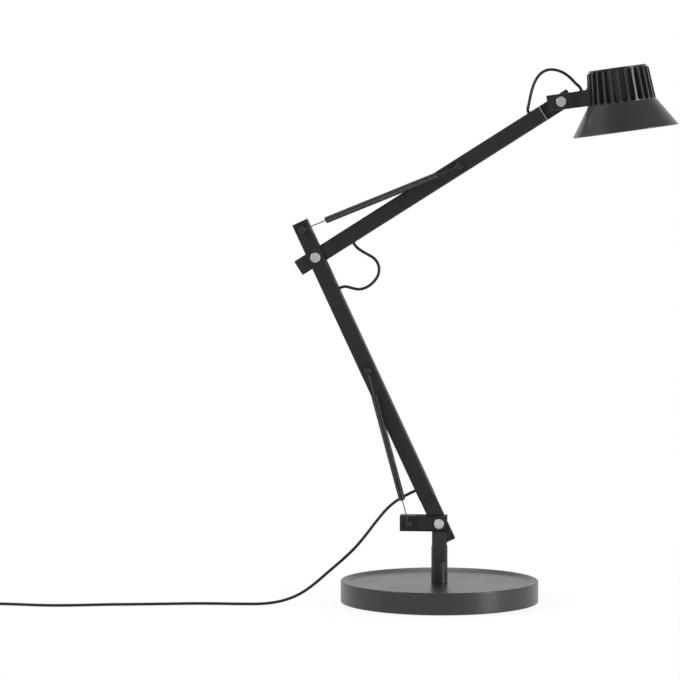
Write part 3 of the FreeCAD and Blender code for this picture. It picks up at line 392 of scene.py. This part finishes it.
def adapter_shell(name, colour):
    """The adapter's two half shells: a moulded grain, and the fine groove where the halves meet."""
    shell = Shader(name)
    low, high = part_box("adapter_body")
    pits = shell.noise(2600, detail=2)
    haze = shell.noise(90, detail=3)
    seam = low.lerp(high, SEAM_PLACE)
    groove = 1.0 - shell.distance(ACROSS, seam).clip(SEAM_FULL, SEAM_GONE)
    skin = shell.blend(haze, tinted(colour, 0.88), tinted(colour, 1.14))
    tone = shell.blend(groove, skin, tinted(colour, 0.3))
    return shell.surface(
        Base_Color=tone, Roughness=haze * 0.1 + pits * 0.08 + 0.39, Specular_IOR_Level=0.4,
        Normal=shell.bump(1.0 - groove, 0.3 * MM, 0.8, shell.bump(pits, 0.06 * MM, 0.7)),
    )


def rubber(name, colour):
    """Soft matt rubber with a dusty bloom."""
    sheet = Shader(name)
    pores = sheet.noise(1800, detail=3)
    bloom = sheet.noise(120, detail=4)
    tone = sheet.blend(bloom.clip(0.35, 0.75), tinted(colour, 0.8), tinted(colour, 1.6))
    return sheet.surface(
        Base_Color=tone, Roughness=pores * 0.1 + 0.72, Specular_IOR_Level=0.3,
        Normal=sheet.bump(pores, 0.05 * MM, 0.6),
    )


def lead_sheath(name, colour):
    """The lead's smooth vinyl sheath, with the soft ripple of the cores under it."""
    sheath = Shader(name)
    ripple = sheath.noise(160, detail=2)
    skin = sheath.noise(2200, detail=2)
    tone = sheath.blend(ripple, tinted(colour, 0.85), tinted(colour, 1.25))
    return sheath.surface(
        Base_Color=tone, Roughness=ripple * 0.12 + skin * 0.06 + 0.32, Specular_IOR_Level=0.4,
        Normal=sheath.bump(ripple, 0.03 * MM, 0.4, sheath.bump(skin, 0.005 * MM, 0.4)),
    )


def opal(name, colour):
    """An opal diffuser: milky, with a faint satin texture."""
    sheet = Shader(name)
    frost = sheet.noise(1900, detail=2)
    cloud = sheet.noise(40, detail=2)
    tone = sheet.blend(cloud, tinted(colour, 0.96), colour)
    return sheet.surface(
        Base_Color=tone, Roughness=frost * 0.1 + 0.4, Normal=sheet.bump(frost, 0.02 * MM, 0.4))


def glossy_white(name, colour):
    """The reflector's glossy white, with a faint waviness."""
    gloss = Shader(name)
    wave = gloss.noise(90, detail=2)
    tone = gloss.blend(wave, tinted(colour, 0.95), colour)
    return gloss.surface(
        Base_Color=tone, Roughness=wave * 0.06 + 0.14, Normal=gloss.bump(wave, 0.03 * MM, 0.4))


def finishes():
    """The material of each slot, apart from arm_paint and bright_steel, which are made for each piece."""
    colours = bpy.context.scene.lamp_colours
    arms, base, shade, lead = (tuple(getattr(colours, part)) for part in ("arms", "base", "shade", "lead"))
    return {
        "base_paint": powder_coat("base_powder_coat", base, 0.34, 0.6),
        "cast_iron": cast_iron("ballast_iron", (0.05, 0.05, 0.05)),
        "rubber": rubber("pad_rubber", (0.012, 0.012, 0.012)),
        "black_plastic": moulded_plastic("black_nylon", (0.01, 0.01, 0.0105)),
        "zinc_steel": plated_metal("zinc_plate", (0.55, 0.55, 0.56)),
        "post_paint": cast_paint("post_satin_black", tinted(arms, 1.2)),
        "tongue_paint": cast_paint("tongue_satin_black", arms, 0.42, 0.3),
        "tip_paint": tip_paint("tip_satin_black", tinted(arms, 0.9)),
        "fork_paint": cast_paint("fork_satin_black", tinted(arms, 0.9), 0.4, 0.3),
        "spring_steel": plated_metal("spring_black_oxide", (0.07, 0.07, 0.072), 0.36, 0.85),
        "black_steel": plated_metal("stud_black_oxide", (0.022, 0.022, 0.023), 0.4, 0.3),
        "lead_sheath": lead_sheath("vinyl_sheath", lead),
        "grommet_rubber": rubber("grommet_rubber", (0.03, 0.03, 0.03)),
        "adapter_plastic": adapter_shell("adapter_shell", (0.012, 0.012, 0.0125)),
        "plated_pins": plated_metal("nickel_plate", (0.62, 0.6, 0.56), 0.22),
        "sink_paint": sink_paint("sink_satin_black", tinted(shade, 1.15), arms),
        "cap_paint": cast_paint("cap_satin_black", tinted(shade, 0.7), 0.36),
        "shade_paint": powder_coat("shade_satin_black", shade, 0.31, 0.52),
        "board": moulded_plastic("board_solder_mask", (0.75, 0.75, 0.72), 0.4),
        "reflector_white": glossy_white("reflector_white", (0.85, 0.85, 0.85)),
        "diffuser_white": opal("opal_diffuser", (0.86, 0.86, 0.84)),
        "button_plastic": moulded_plastic("button_plastic", (0.014, 0.014, 0.0145), 0.4),
    }


FINISH = {}


def make_finishes():
    """The slots' materials, made once."""
    if not FINISH:
        FINISH.update(finishes())
    return FINISH


# Geometry.
def evaluated_mesh(obj):
    """The plain mesh that an object's modifiers or curve settings give."""
    graph = bpy.context.evaluated_depsgraph_get()
    return bpy.data.meshes.new_from_object(obj.evaluated_get(graph))


def add_piece(name, mesh, material, body=None):
    """Links a finished mesh as a smooth piece of the lamp, riding on a body where one is given."""
    piece = bpy.data.objects.new(name, mesh)
    bpy.context.scene.collection.objects.link(piece)
    mesh.materials.clear()
    mesh.materials.append(material)
    mesh.shade_smooth()
    if body:
        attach(piece, body)
    return piece


# Steps between two points of a route, and how finely its section is rounded.
ROUTE_STEPS = 8
ROUTE_ROUNDNESS = 5


def route_curve(name, points, radius=0.0):
    """A smooth NURBS line with a route's points as its control points, round where a radius is given."""
    data = bpy.data.curves.new(name, "CURVE")
    data.dimensions = "3D"
    data.resolution_u = ROUTE_STEPS
    data.bevel_depth = radius
    data.bevel_resolution = ROUTE_ROUNDNESS
    data.use_fill_caps = radius > 0
    spline = data.splines.new("NURBS")
    spline.points.add(len(points) - 1)
    for control, point in zip(spline.points, points):
        control.co = (*point, 1.0)
    spline.order_u = 3
    spline.use_endpoint_u = True
    curve = bpy.data.objects.new(name, data)
    bpy.context.scene.collection.objects.link(curve)
    return curve


def lead_piece(name, points, material):
    """A lead as a mesh tube round its route, and the points of the line that it follows."""
    line = route_curve(f"{name}_line", points)
    path = [tuple(vertex.co) for vertex in evaluated_mesh(line).vertices]
    bpy.data.objects.remove(line)
    tube = route_curve(f"{name}_tube", points, bpy.context.scene.lamp_sizes.lead_diameter / 2)
    piece = add_piece(name, evaluated_mesh(tube), material)
    bpy.data.objects.remove(tube)
    return piece, path


# Routes of the leads, in metres: the same points as the CAD tubes'.
def metres(points):
    return [tuple(value * MM for value in point) for point in points]


# The height over a bar's middle line at which a lead leaves its grommet, in millimetres.
GROMMET_TOP = 8.4


def straight_out(pivot, way, out, along, reach):
    """The point where a lead leaves its grommet on a bar, and the end of its straight run out of it."""
    foot = pivot + way * (along * MM)
    return [tuple(foot + out * (height * MM)) for height in (GROMMET_TOP, GROMMET_TOP + reach)]


FLOOR_ROUTE = straight_out(LOWER_PIVOT, LOWER_WAY, left_of(LOWER_WAY), 39.6, 13.0) + metres([
    (-50.2, -2.2, 97.2), (-61.6, -4.6, 83.8), (-72.4, -8.0, 69.4),
    (-83.4, -12.0, 55.8), (-96.6, -17.2, 43.4), (-110.6, -22.6, 31.6), (-123.8, -27.6, 20.0),
    (-137.6, -32.6, 10.4), (-153.4, -37.0, 4.4), (-171.6, -40.6, 1.6), (-194.6, -43.2, 1.55),
    (-220.4, -42.6, 1.6), (-245.0, -43.8, 1.55), (-271.0, -50.0, 1.6), (-301.0, -55.4, 1.55),
    (-331.0, -60.6, 1.6), (-360.0, -69.2, 1.55), (-390.0, -72.6, 1.6), (-418.0, -66.6, 1.55),
    (-444.0, -64.6, 1.6), (-468.0, -66.0, 1.55),
])
ELBOW_ROUTE = straight_out(ELBOW, UPPER_WAY, -left_of(UPPER_WAY), 39.4, 4.0) + metres([
    (-79.6, 0, 353.4), (-72.8, 0, 349.6), (-65.2, 0, 345.4), (-60.8, 0, 338.0), (-61.3, 0, 329.0),
    (-66.6, 0, 321.3), (-73.8, 0, 316.0), (-81.2, 0, 314.1), (-87.9, 0, 315.5), (-93.7, 0, 317.2),
]) + straight_out(LOWER_PIVOT, LOWER_WAY, -left_of(LOWER_WAY), 256.0, 3.4)[::-1]
WRIST_ROUTE = straight_out(ELBOW, UPPER_WAY, left_of(UPPER_WAY), 256.8, 2.6) + metres([
    (88.0, 0, 498.0), (89.5, 0, 506.6), (91.6, 0, 515.4), (94.9, 0, 523.8), (100.2, 0, 530.6),
    (107.3, 0, 533.9), (115.2, 0, 533.5), (122.8, 0, 530.6), (129.5, 0, 525.5), (134.6, 0, 519.8),
]) + straight_out(WRIST, HEAD_WAY, -HEAD_DOWN, 20.8, 2.6)[::-1]
# The middle of the coil in which the floor lead lies on the desk, after hanging down from the arm.
COIL_CENTRE = Vector((-474.0, -85.5, 0)) * MM
COIL_LAYERS, COIL_COLUMNS = 4, 3
POINTS_PER_TURN = 16
# The share of each turn in which the lead crosses to its next place, and the turn added to the last layer.
CROSSING = 0.25
LAST_TURN = 0.25


def coil_route(sizes):
    """The put-away length: neat turns side by side and in layers, ending where the strain relief points."""
    gap = sizes.lead_diameter
    bulge = 1 / math.cos(math.pi / POINTS_PER_TURN)
    slots = COIL_LAYERS * COIL_COLUMNS
    points = []
    for step in range(1, round((slots + LAST_TURN) * POINTS_PER_TURN) + 1):
        turned = step / POINTS_PER_TURN
        whole, part = divmod(turned, 1)
        places = [coil_slot(min(int(whole) + ahead, slots - 1)) for ahead in (0, 1)]
        share = max(0.0, (part - (1 - CROSSING)) / CROSSING)
        share = share * share * (3 - 2 * share)
        column = places[0][0] * (1 - share) + places[1][0] * share
        layer = places[0][1] * (1 - share) + places[1][1] * share
        radius = (sizes.coil_radius + (1 - column) * gap) * bulge
        angle = math.radians(90) + 2 * math.pi * turned
        x = COIL_CENTRE.x + radius * math.cos(angle)
        y = COIL_CENTRE.y + radius * math.sin(angle)
        points.append((x, y, gap / 2 + layer * gap))
    return points


def coil_slot(turn):
    """The column, from the outside, and the layer of one turn; odd layers run outwards again."""
    layer, place = divmod(turn, COIL_COLUMNS)
    column = place if layer % 2 == 0 else COIL_COLUMNS - 1 - place
    return column, layer


# For each loop, an angle off its chord in degrees, which the leads' table carries.
ELBOW_BLEND_TURN = 27.5
WRIST_BLEND_TURN = 40.0


class LAMP_OT_leads(bpy.types.Operator):
    """Lays the floor lead with its coil, and the two loops over the joints"""

    bl_idname = "lamp.leads"
    bl_label = "Leads"

    def execute(self, context):
        sizes = context.scene.lamp_sizes
        sheath = make_finishes()["lead_sheath"]
        floor_lead, path = lead_piece("lead", FLOOR_ROUTE + coil_route(sizes), sheath)
        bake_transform(floor_lead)
        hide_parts("floor_lead", "lead_coil")
        for name, node, route, bodies, turn in (
            ("elbow_lead", "elbow_loop", ELBOW_ROUTE, ("upper_arm", "lower_arm"), ELBOW_BLEND_TURN),
            ("wrist_lead", "wrist_loop", WRIST_ROUTE, ("upper_arm", "head"), WRIST_BLEND_TURN),
        ):
            loop, path = lead_piece(name, route, sheath)
            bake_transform(loop)
            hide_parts(node)
        return {"FINISHED"}


# Geometry node trees.
class Grower:
    """A Geometry Nodes tree with named inputs, which ends in Realize Instances and Set Material."""

    def __init__(self, name, sockets):
        self.tree = bpy.data.node_groups.new(name, "GeometryNodeTree")
        for label, kind, value in sockets:
            socket = self.tree.interface.new_socket(label, in_out="INPUT", socket_type=f"NodeSocket{kind}")
            socket.default_value = value
        self.tree.interface.new_socket("Material", in_out="INPUT", socket_type="NodeSocketMaterial")
        self.tree.interface.new_socket("Geometry", in_out="OUTPUT", socket_type="NodeSocketGeometry")
        self.given = self.tree.nodes.new("NodeGroupInput").outputs

    def add(self, kind, inputs, out=0, settings=None):
        """Adds a node with its inputs' values or links, and gives one of its outputs."""
        node = self.tree.nodes.new(kind)
        for name, value in (settings or {}).items():
            setattr(node, name, value)
        for key, value in inputs.items():
            if isinstance(value, bpy.types.NodeSocket):
                self.tree.links.new(value, node.inputs[key])
            else:
                node.inputs[key].default_value = value
        return node.outputs[out]

    def finish(self, geometry):
        """Ends the tree with its geometry made real and given the material."""
        realized = self.add("GeometryNodeRealizeInstances", {"Geometry": geometry})
        painted = self.add("GeometryNodeSetMaterial", {
            "Geometry": realized, "Material": self.given["Material"]})
        result = self.tree.nodes.new("NodeGroupOutput")
        self.tree.links.new(painted, result.inputs["Geometry"])
        return self.tree


def spring_tree():
    """A close-wound spring: a helix of round wire along Z."""
    spring = Grower("close_wound_spring", (
        ("Radius", "Float", 2.9 * MM), ("Turns", "Float", 90.0),
        ("Height", "Float", 0.1), ("Wire", "Float", 0.55 * MM)))
    given = spring.given
    helix = spring.add("GeometryNodeCurveSpiral", {
        "Resolution": 20, "Rotations": given["Turns"], "Start Radius": given["Radius"],
        "End Radius": given["Radius"], "Height": given["Height"]})
    section = spring.add("GeometryNodeCurvePrimitiveCircle", {"Resolution": 8, "Radius": given["Wire"]})
    return spring.finish(spring.add("GeometryNodeCurveToMesh", {"Curve": helix, "Profile Curve": section}))


def relief_tree():
    """The strain relief's rings, side by side along Z, each smaller than the one before."""
    relief = Grower("relief_rings", (
        ("Rings", "Int", 6), ("Pitch", "Float", 2.6 * MM), ("Radius", "Float", 3.4 * MM),
        ("Round", "Float", 0.7 * MM), ("Shrink", "Float", 0.05)))
    given = relief.given
    step = relief.add("ShaderNodeCombineXYZ", {"Z": given["Pitch"]})
    places = relief.add("GeometryNodeMeshLine", {"Count": given["Rings"], "Offset": step})
    line = relief.add("GeometryNodeCurvePrimitiveCircle", {"Resolution": 36, "Radius": given["Radius"]})
    section = relief.add("GeometryNodeCurvePrimitiveCircle", {"Resolution": 10, "Radius": given["Round"]})
    ring = relief.add("GeometryNodeCurveToMesh", {"Curve": line, "Profile Curve": section})
    index = relief.add("GeometryNodeInputIndex", {})
    loss = relief.add("ShaderNodeMath", {0: index, 1: given["Shrink"]}, settings={"operation": "MULTIPLY"})
    size = relief.add("ShaderNodeMath", {0: 1.0, 1: loss}, settings={"operation": "SUBTRACT"})
    rings = relief.add("GeometryNodeInstanceOnPoints", {"Points": places, "Instance": ring, "Scale": size})
    return relief.finish(rings)


def grown_mesh(name, tree, values):
    """The mesh that a Geometry Nodes tree gives for its inputs' values."""
    host = bpy.data.objects.new(name, bpy.data.meshes.new(name))
    bpy.context.scene.collection.objects.link(host)
    modifier = host.modifiers.new("nodes", "NODES")
    modifier.node_group = tree
    for socket in tree.interface.items_tree:
        if socket.in_out == "INPUT" and socket.name in values:
            modifier[socket.identifier] = values[socket.name]
    mesh = evaluated_mesh(host)
    host.modifiers.remove(modifier)
    bpy.data.objects.remove(host)
    return mesh


# The strain relief's rings: the length that stays bare, the first ring's place, how far the rings' middle
# line stays inside the foot, the radius of their section, and how much smaller the last one is.
RELIEF_BARE = 5.0 * MM
RELIEF_START = 2.0 * MM
RELIEF_UNDER = 0.1 * MM
RELIEF_ROUND = 0.75 * MM
RELIEF_TAPER = 0.36


class LAMP_OT_relief(bpy.types.Operator):
    """Rings the strain relief between the lead and its adapter"""

    bl_idname = "lamp.relief"
    bl_label = "Strain relief"

    def execute(self, context):
        count = context.scene.lamp_sizes.relief_ribs
        low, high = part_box("strain_relief")
        length = high.y - low.y
        foot = (high.z - low.z) / 2
        pitch = (length - RELIEF_BARE) / (count - 1)
        mesh = grown_mesh("relief_rings", relief_tree(), {
            "Rings": count, "Pitch": pitch, "Radius": foot - RELIEF_UNDER, "Round": RELIEF_ROUND,
            "Shrink": RELIEF_TAPER / count, "Material": make_finishes()["lead_sheath"]})
        start = Vector(((low.x + high.x) / 2, low.y + RELIEF_START, (low.z + high.z) / 2))
        mesh.transform(Matrix.Translation(start) @ Matrix.Rotation(math.radians(-90), 4, "X"))
        add_piece("relief_rings", mesh, make_finishes()["lead_sheath"], "post")
        return {"FINISHED"}


# The springs lie in a plane beside the arms. A hook's loop goes most of the way round its stud's neck,
# from and over these angles in degrees.
SPRING_PLANE = -12.2 * MM
HOOK_RADIUS = 2.95 * MM
LOOP_STEPS, LOOP_START, LOOP_SWEEP = 24, -150, 300
# The straight wire of a hook: how far it begins past the loop and ends before the coil.
WIRE_START, WIRE_END = 1.2 * MM, 3.0 * MM
SPIRAL_STEPS, SPIRAL_TURNS = 24, 1.25
# How far each coil stays from the anchor and from the stud.
LOWER_HOOKS = (25.5 * MM, 26.0 * MM)
UPPER_HOOKS = (26.0 * MM, 24.0 * MM)


def hook_route(stud, way, side, reach, radius, pitch):
    """A loop round a stud's neck, a straight wire from it, and a flat spiral out to the coil's first turn."""
    points = []
    for step in range(LOOP_STEPS + 1):
        angle = math.radians(LOOP_START + LOOP_SWEEP * step / LOOP_STEPS)
        points.append(stud - way * (HOOK_RADIUS * math.cos(angle)) + side * (HOOK_RADIUS * math.sin(angle)))
    points.append(stud + way * (HOOK_RADIUS + WIRE_START))
    points.append(stud + way * (reach - WIRE_END))
    across = side.cross(way)
    for step in range(SPIRAL_STEPS + 1):
        left = 1.0 - step / SPIRAL_STEPS
        angle = -2 * math.pi * SPIRAL_TURNS * left
        out = radius * (1.0 - left ** 2)
        points.append(stud + way * (reach - pitch * SPIRAL_TURNS * left * left)
                      + side * (out * math.cos(angle)) + across * (out * math.sin(angle)))
    return points


def spring_piece(name, node, anchor, stud, hooks, tree, steel):
    """One balance spring: the close-wound coil between a hook on the anchor and a hook on the stud."""
    coil_start, coil_end = hooks
    sizes = bpy.context.scene.lamp_sizes
    wire = sizes.spring_wire / 2
    radius = sizes.spring_diameter / 2 - wire
    way = (stud - anchor).normalized()
    side = NEAR.cross(way).normalized()
    height = (stud - anchor).length - coil_start - coil_end
    turns = round(height / sizes.spring_wire)
    coil = grown_mesh(f"{name}_coil", tree, {
        "Radius": radius, "Turns": float(turns), "Height": height, "Wire": wire, "Material": steel})
    turn = Matrix((side, NEAR, way)).transposed().to_4x4()
    coil.transform(Matrix.Translation(anchor + way * coil_start) @ turn)
    shape = bmesh.new()
    shape.from_mesh(coil)
    for end, out, reach in ((anchor, way, coil_start), (stud, -way, coil_end)):
        route = hook_route(end, out, side, reach, radius, sizes.spring_wire)
        hook = route_curve(f"{name}_hook", route, wire)
        shape.from_mesh(evaluated_mesh(hook))
        bpy.data.objects.remove(hook)
    mesh = bpy.data.meshes.new(name)
    shape.to_mesh(mesh)
    shape.free()
    piece = add_piece(name, mesh, steel)
    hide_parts(node)
    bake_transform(piece)


class LAMP_OT_springs(bpy.types.Operator):
    """Winds the two balance springs and hooks them on their studs"""

    bl_idname = "lamp.springs"
    bl_label = "Balance springs"

    def execute(self, context):
        steel = make_finishes()["spring_steel"]
        tree = spring_tree()
        centres = {}
        for node in ("lower_spring_anchor", "lower_spring_stud", "upper_spring_anchor", "upper_spring_stud"):
            low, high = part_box(node)
            middle = (low + high) / 2
            centres[node] = Vector((middle.x, SPRING_PLANE, middle.z))
        for place, hooks, bodies in (
            ("lower", LOWER_HOOKS, ("post", "lower_arm")),
            ("upper", UPPER_HOOKS, ("lower_arm", "upper_arm")),
        ):
            node = f"{place}_spring"
            spring_piece(f"balance_spring_{place}", node, centres[f"{node}_anchor"], centres[f"{node}_stud"],
                         hooks, tree, steel)
        return {"FINISHED"}


# The bright steel of the pivot screws and nuts.
PIN_STEEL = (0.62, 0.62, 0.62)


class LAMP_OT_finishes(bpy.types.Operator):
    """Gives every piece of the frame its finish"""

    bl_idname = "lamp.finishes"
    bl_label = "Finishes"

    def execute(self, context):
        made = make_finishes()
        arms = tuple(context.scene.lamp_colours.arms)
        ways = {"yoke": Vector((1, 0, 0)), "lower_arm_tube": LOWER_WAY, "upper_arm_tube": UPPER_WAY}
        slots = {part["node"]: part["material_slot"] for part in frame["record"]["subparts"]}
        for node, piece in frame["nodes"].items():
            slot = slots[node]
            if slot == "arm_paint":
                material = extruded_paint(f"{node}_satin_black", arms, ways[node])
            elif slot == "bright_steel":
                low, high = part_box(node)
                material = turned_steel(f"{node}_steel", PIN_STEEL, (low + high) / 2)
            else:
                material = made[slot]
            piece.data.materials.clear()
            piece.data.materials.append(material)
        return {"FINISHED"}


# The photograph's view: where the camera looks, from how far, and how it leans.
LOOK_AT = Vector((-100.3, 0, 263.4)) * MM
CAMERA_DISTANCE = 3.622
CAMERA_AZIMUTH = 5.5
CAMERA_ELEVATION = 3.77
CAMERA_LENS = 191.2
CAMERA_SENSOR = 36.0


def aim(obj, spot, target):
    """Puts a light or camera in a place, turned to its target."""
    obj.location = spot
    obj.rotation_euler = (target - spot).to_track_quat("-Z", "Y").to_euler()


def from_angles(target, azimuth, elevation, distance):
    """A point seen from the target at an azimuth, to the right of the near side, and an elevation."""
    a, e = math.radians(azimuth), math.radians(elevation)
    return target + Vector((math.sin(a) * math.cos(e), -math.cos(a) * math.cos(e), math.sin(e))) * distance


def soft_lamp(name, azimuth, elevation, distance, size, power):
    """A rectangular light that looks at the lamp's middle."""
    data = bpy.data.lights.new(name, "AREA")
    data.shape = "RECTANGLE"
    data.size, data.size_y = size
    data.energy = power
    lamp = bpy.data.objects.new(name, data)
    bpy.context.scene.collection.objects.link(lamp)
    aim(lamp, from_angles(LOOK_AT, azimuth, elevation, distance), LOOK_AT)


def light_path(shader, *outputs):
    """1 for rays of any of the named kinds."""
    path = shader.tree.nodes.new("ShaderNodeLightPath")
    found = Wire(shader, path.outputs[outputs[0]])
    for name in outputs[1:]:
        kind = Wire(shader, path.outputs[name])
        found = shader.node("ShaderNodeMath", {"operation": "MAXIMUM"}, {0: found, 1: kind})
    return found


# The floor's half width, how far it lies under the desk plane, the ring in which its shadow fades out,
# and how much of it the camera sees as glow near the lamp.
FLOOR_REACH = 12.0
FLOOR_DROP = 0.3 * MM
SHADOW_START, SHADOW_END = 0.15, 0.55
FLOOR_GLOW = 0.88


def make_floor():
    """White paper: it keeps a faint shadow round the lamp and melts into the backdrop further out."""
    mesh = bpy.data.meshes.new("floor")
    signs = ((-1, -1), (1, -1), (1, 1), (-1, 1))
    corners = [(x * FLOOR_REACH, y * FLOOR_REACH, 0) for x, y in signs]
    mesh.from_pydata(corners, [], [(0, 1, 2, 3)])
    floor = bpy.data.objects.new("floor", mesh)
    floor.location.z = -FLOOR_DROP
    bpy.context.scene.collection.objects.link(floor)
    paper = Shader("floor_paper")
    distance = paper.node("ShaderNodeVectorMath", {"operation": "LENGTH"}, {0: paper.place()}, out="Value")
    far = distance.clip(SHADOW_START, SHADOW_END)
    direct = light_path(paper, "Is Camera Ray", "Is Glossy Ray", "Is Transmission Ray")
    matt = paper.node("ShaderNodeBsdfDiffuse", None, {"Color": (0.9, 0.9, 0.9, 1)})
    glow = paper.node("ShaderNodeEmission", None, {"Color": (1, 1, 1, 1), "Strength": 1.0})
    mixed = paper.node("ShaderNodeMixShader", None, {
        0: direct * (far * (1.0 - FLOOR_GLOW) + FLOOR_GLOW), 1: matt, 2: glow})
    mesh.materials.append(paper.close(mixed))


# The backdrop as a mirror sees it: the near room's brightness, where depth turns into backdrop,
# where it dims with height and by how much; and the even light on matt surfaces.
NEAR_ROOM = 0.12
BACKDROP_START, BACKDROP_END = -0.55, 0.35
HIGH_START, HIGH_END = 0.25, 0.75
HIGH_DIM = 0.9
AMBIENT = 0.45


def make_studio():
    """A white backdrop behind and beside the lamp, and a dimmer room on the near side."""
    world = bpy.data.worlds.new("studio")
    world.use_nodes = True
    bpy.context.scene.world = world
    sky = Shader("studio", world.node_tree)
    where = sky.node("ShaderNodeTexCoord", out="Generated")
    parts = sky.tree.nodes.new("ShaderNodeSeparateXYZ")
    sky.tree.links.new(where.socket, parts.inputs[0])
    depth = Wire(sky, parts.outputs["Y"])
    backdrop = depth.clip(BACKDROP_START, BACKDROP_END)
    camera = light_path(sky, "Is Camera Ray", "Is Transmission Ray")
    glossy = light_path(sky, "Is Glossy Ray")
    height = Wire(sky, parts.outputs["Z"])
    lit = backdrop * (1.0 - height.clip(HIGH_START, HIGH_END) * HIGH_DIM)
    mirrored = lit * (1.0 - NEAR_ROOM) + NEAR_ROOM
    ambient = (1.0 - glossy) * AMBIENT + glossy * mirrored
    light = sky.node("ShaderNodeBackground", None, {
        "Color": (1, 1, 1, 1), "Strength": camera + (1.0 - camera) * ambient})
    output = world.node_tree.nodes.new("ShaderNodeOutputWorld")
    world.node_tree.links.new(light.socket, output.inputs["Surface"])


class LAMP_OT_stage(bpy.types.Operator):
    """Sets the white floor, the soft lights and the camera"""

    bl_idname = "lamp.stage"
    bl_label = "Stage"

    def execute(self, context):
        scene = context.scene
        make_floor()
        make_studio()
        soft_lamp("key_light", azimuth=63, elevation=7, distance=2.4, size=(0.4, 1.3), power=36)
        soft_lamp("side_light", azimuth=-64, elevation=33, distance=2.4, size=(1.5, 1.0), power=30)
        soft_lamp("top_light", azimuth=170, elevation=62, distance=2.2, size=(1.6, 1.2), power=22)

        data = bpy.data.cameras.new("camera")
        data.lens = CAMERA_LENS
        data.sensor_width = CAMERA_SENSOR
        data.clip_end = 60.0
        camera = bpy.data.objects.new("camera", data)
        scene.collection.objects.link(camera)
        aim(camera, from_angles(LOOK_AT, CAMERA_AZIMUTH, CAMERA_ELEVATION, CAMERA_DISTANCE), LOOK_AT)
        scene.camera = camera
        scene.view_settings.view_transform = "Standard"
        return {"FINISHED"}


class LAMP_PT_panel(bpy.types.Panel):
    """The lamp's sizes, colours and steps"""

    bl_idname = "LAMP_PT_panel"
    bl_label = "Desk lamp"
    bl_space_type = "VIEW_3D"
    bl_region_type = "UI"
    bl_category = "Desk lamp"

    def draw(self, context):
        layout = self.layout
        for group in (context.scene.lamp_sizes, context.scene.lamp_colours):
            for name in group.__annotations__:
                layout.prop(group, name)
        for operator in OPERATORS:
            layout.operator(operator.bl_idname)


OPERATORS = (LAMP_OT_stage, LAMP_OT_finishes, LAMP_OT_relief, LAMP_OT_leads, LAMP_OT_springs)
CLASSES = (LampSizes, LampColours, *OPERATORS, LAMP_PT_panel)


def register():
    """Registers the add-on's classes and its settings on the scene."""
    for item in CLASSES:
        bpy.utils.register_class(item)
    bpy.types.Scene.lamp_sizes = PointerProperty(type=LampSizes)
    bpy.types.Scene.lamp_colours = PointerProperty(type=LampColours)


def unregister():
    """Takes the add-on's settings and classes away again."""
    del bpy.types.Scene.lamp_sizes
    del bpy.types.Scene.lamp_colours
    for item in reversed(CLASSES):
        bpy.utils.unregister_class(item)


def main():
    """Builds the lamp's looks step by step."""
    register()
    bpy.ops.lamp.stage()
    bpy.ops.lamp.finishes()
    bpy.ops.lamp.relief()
    bpy.ops.lamp.leads()
    bpy.ops.lamp.springs()


if __name__ == "__main__":
    main()
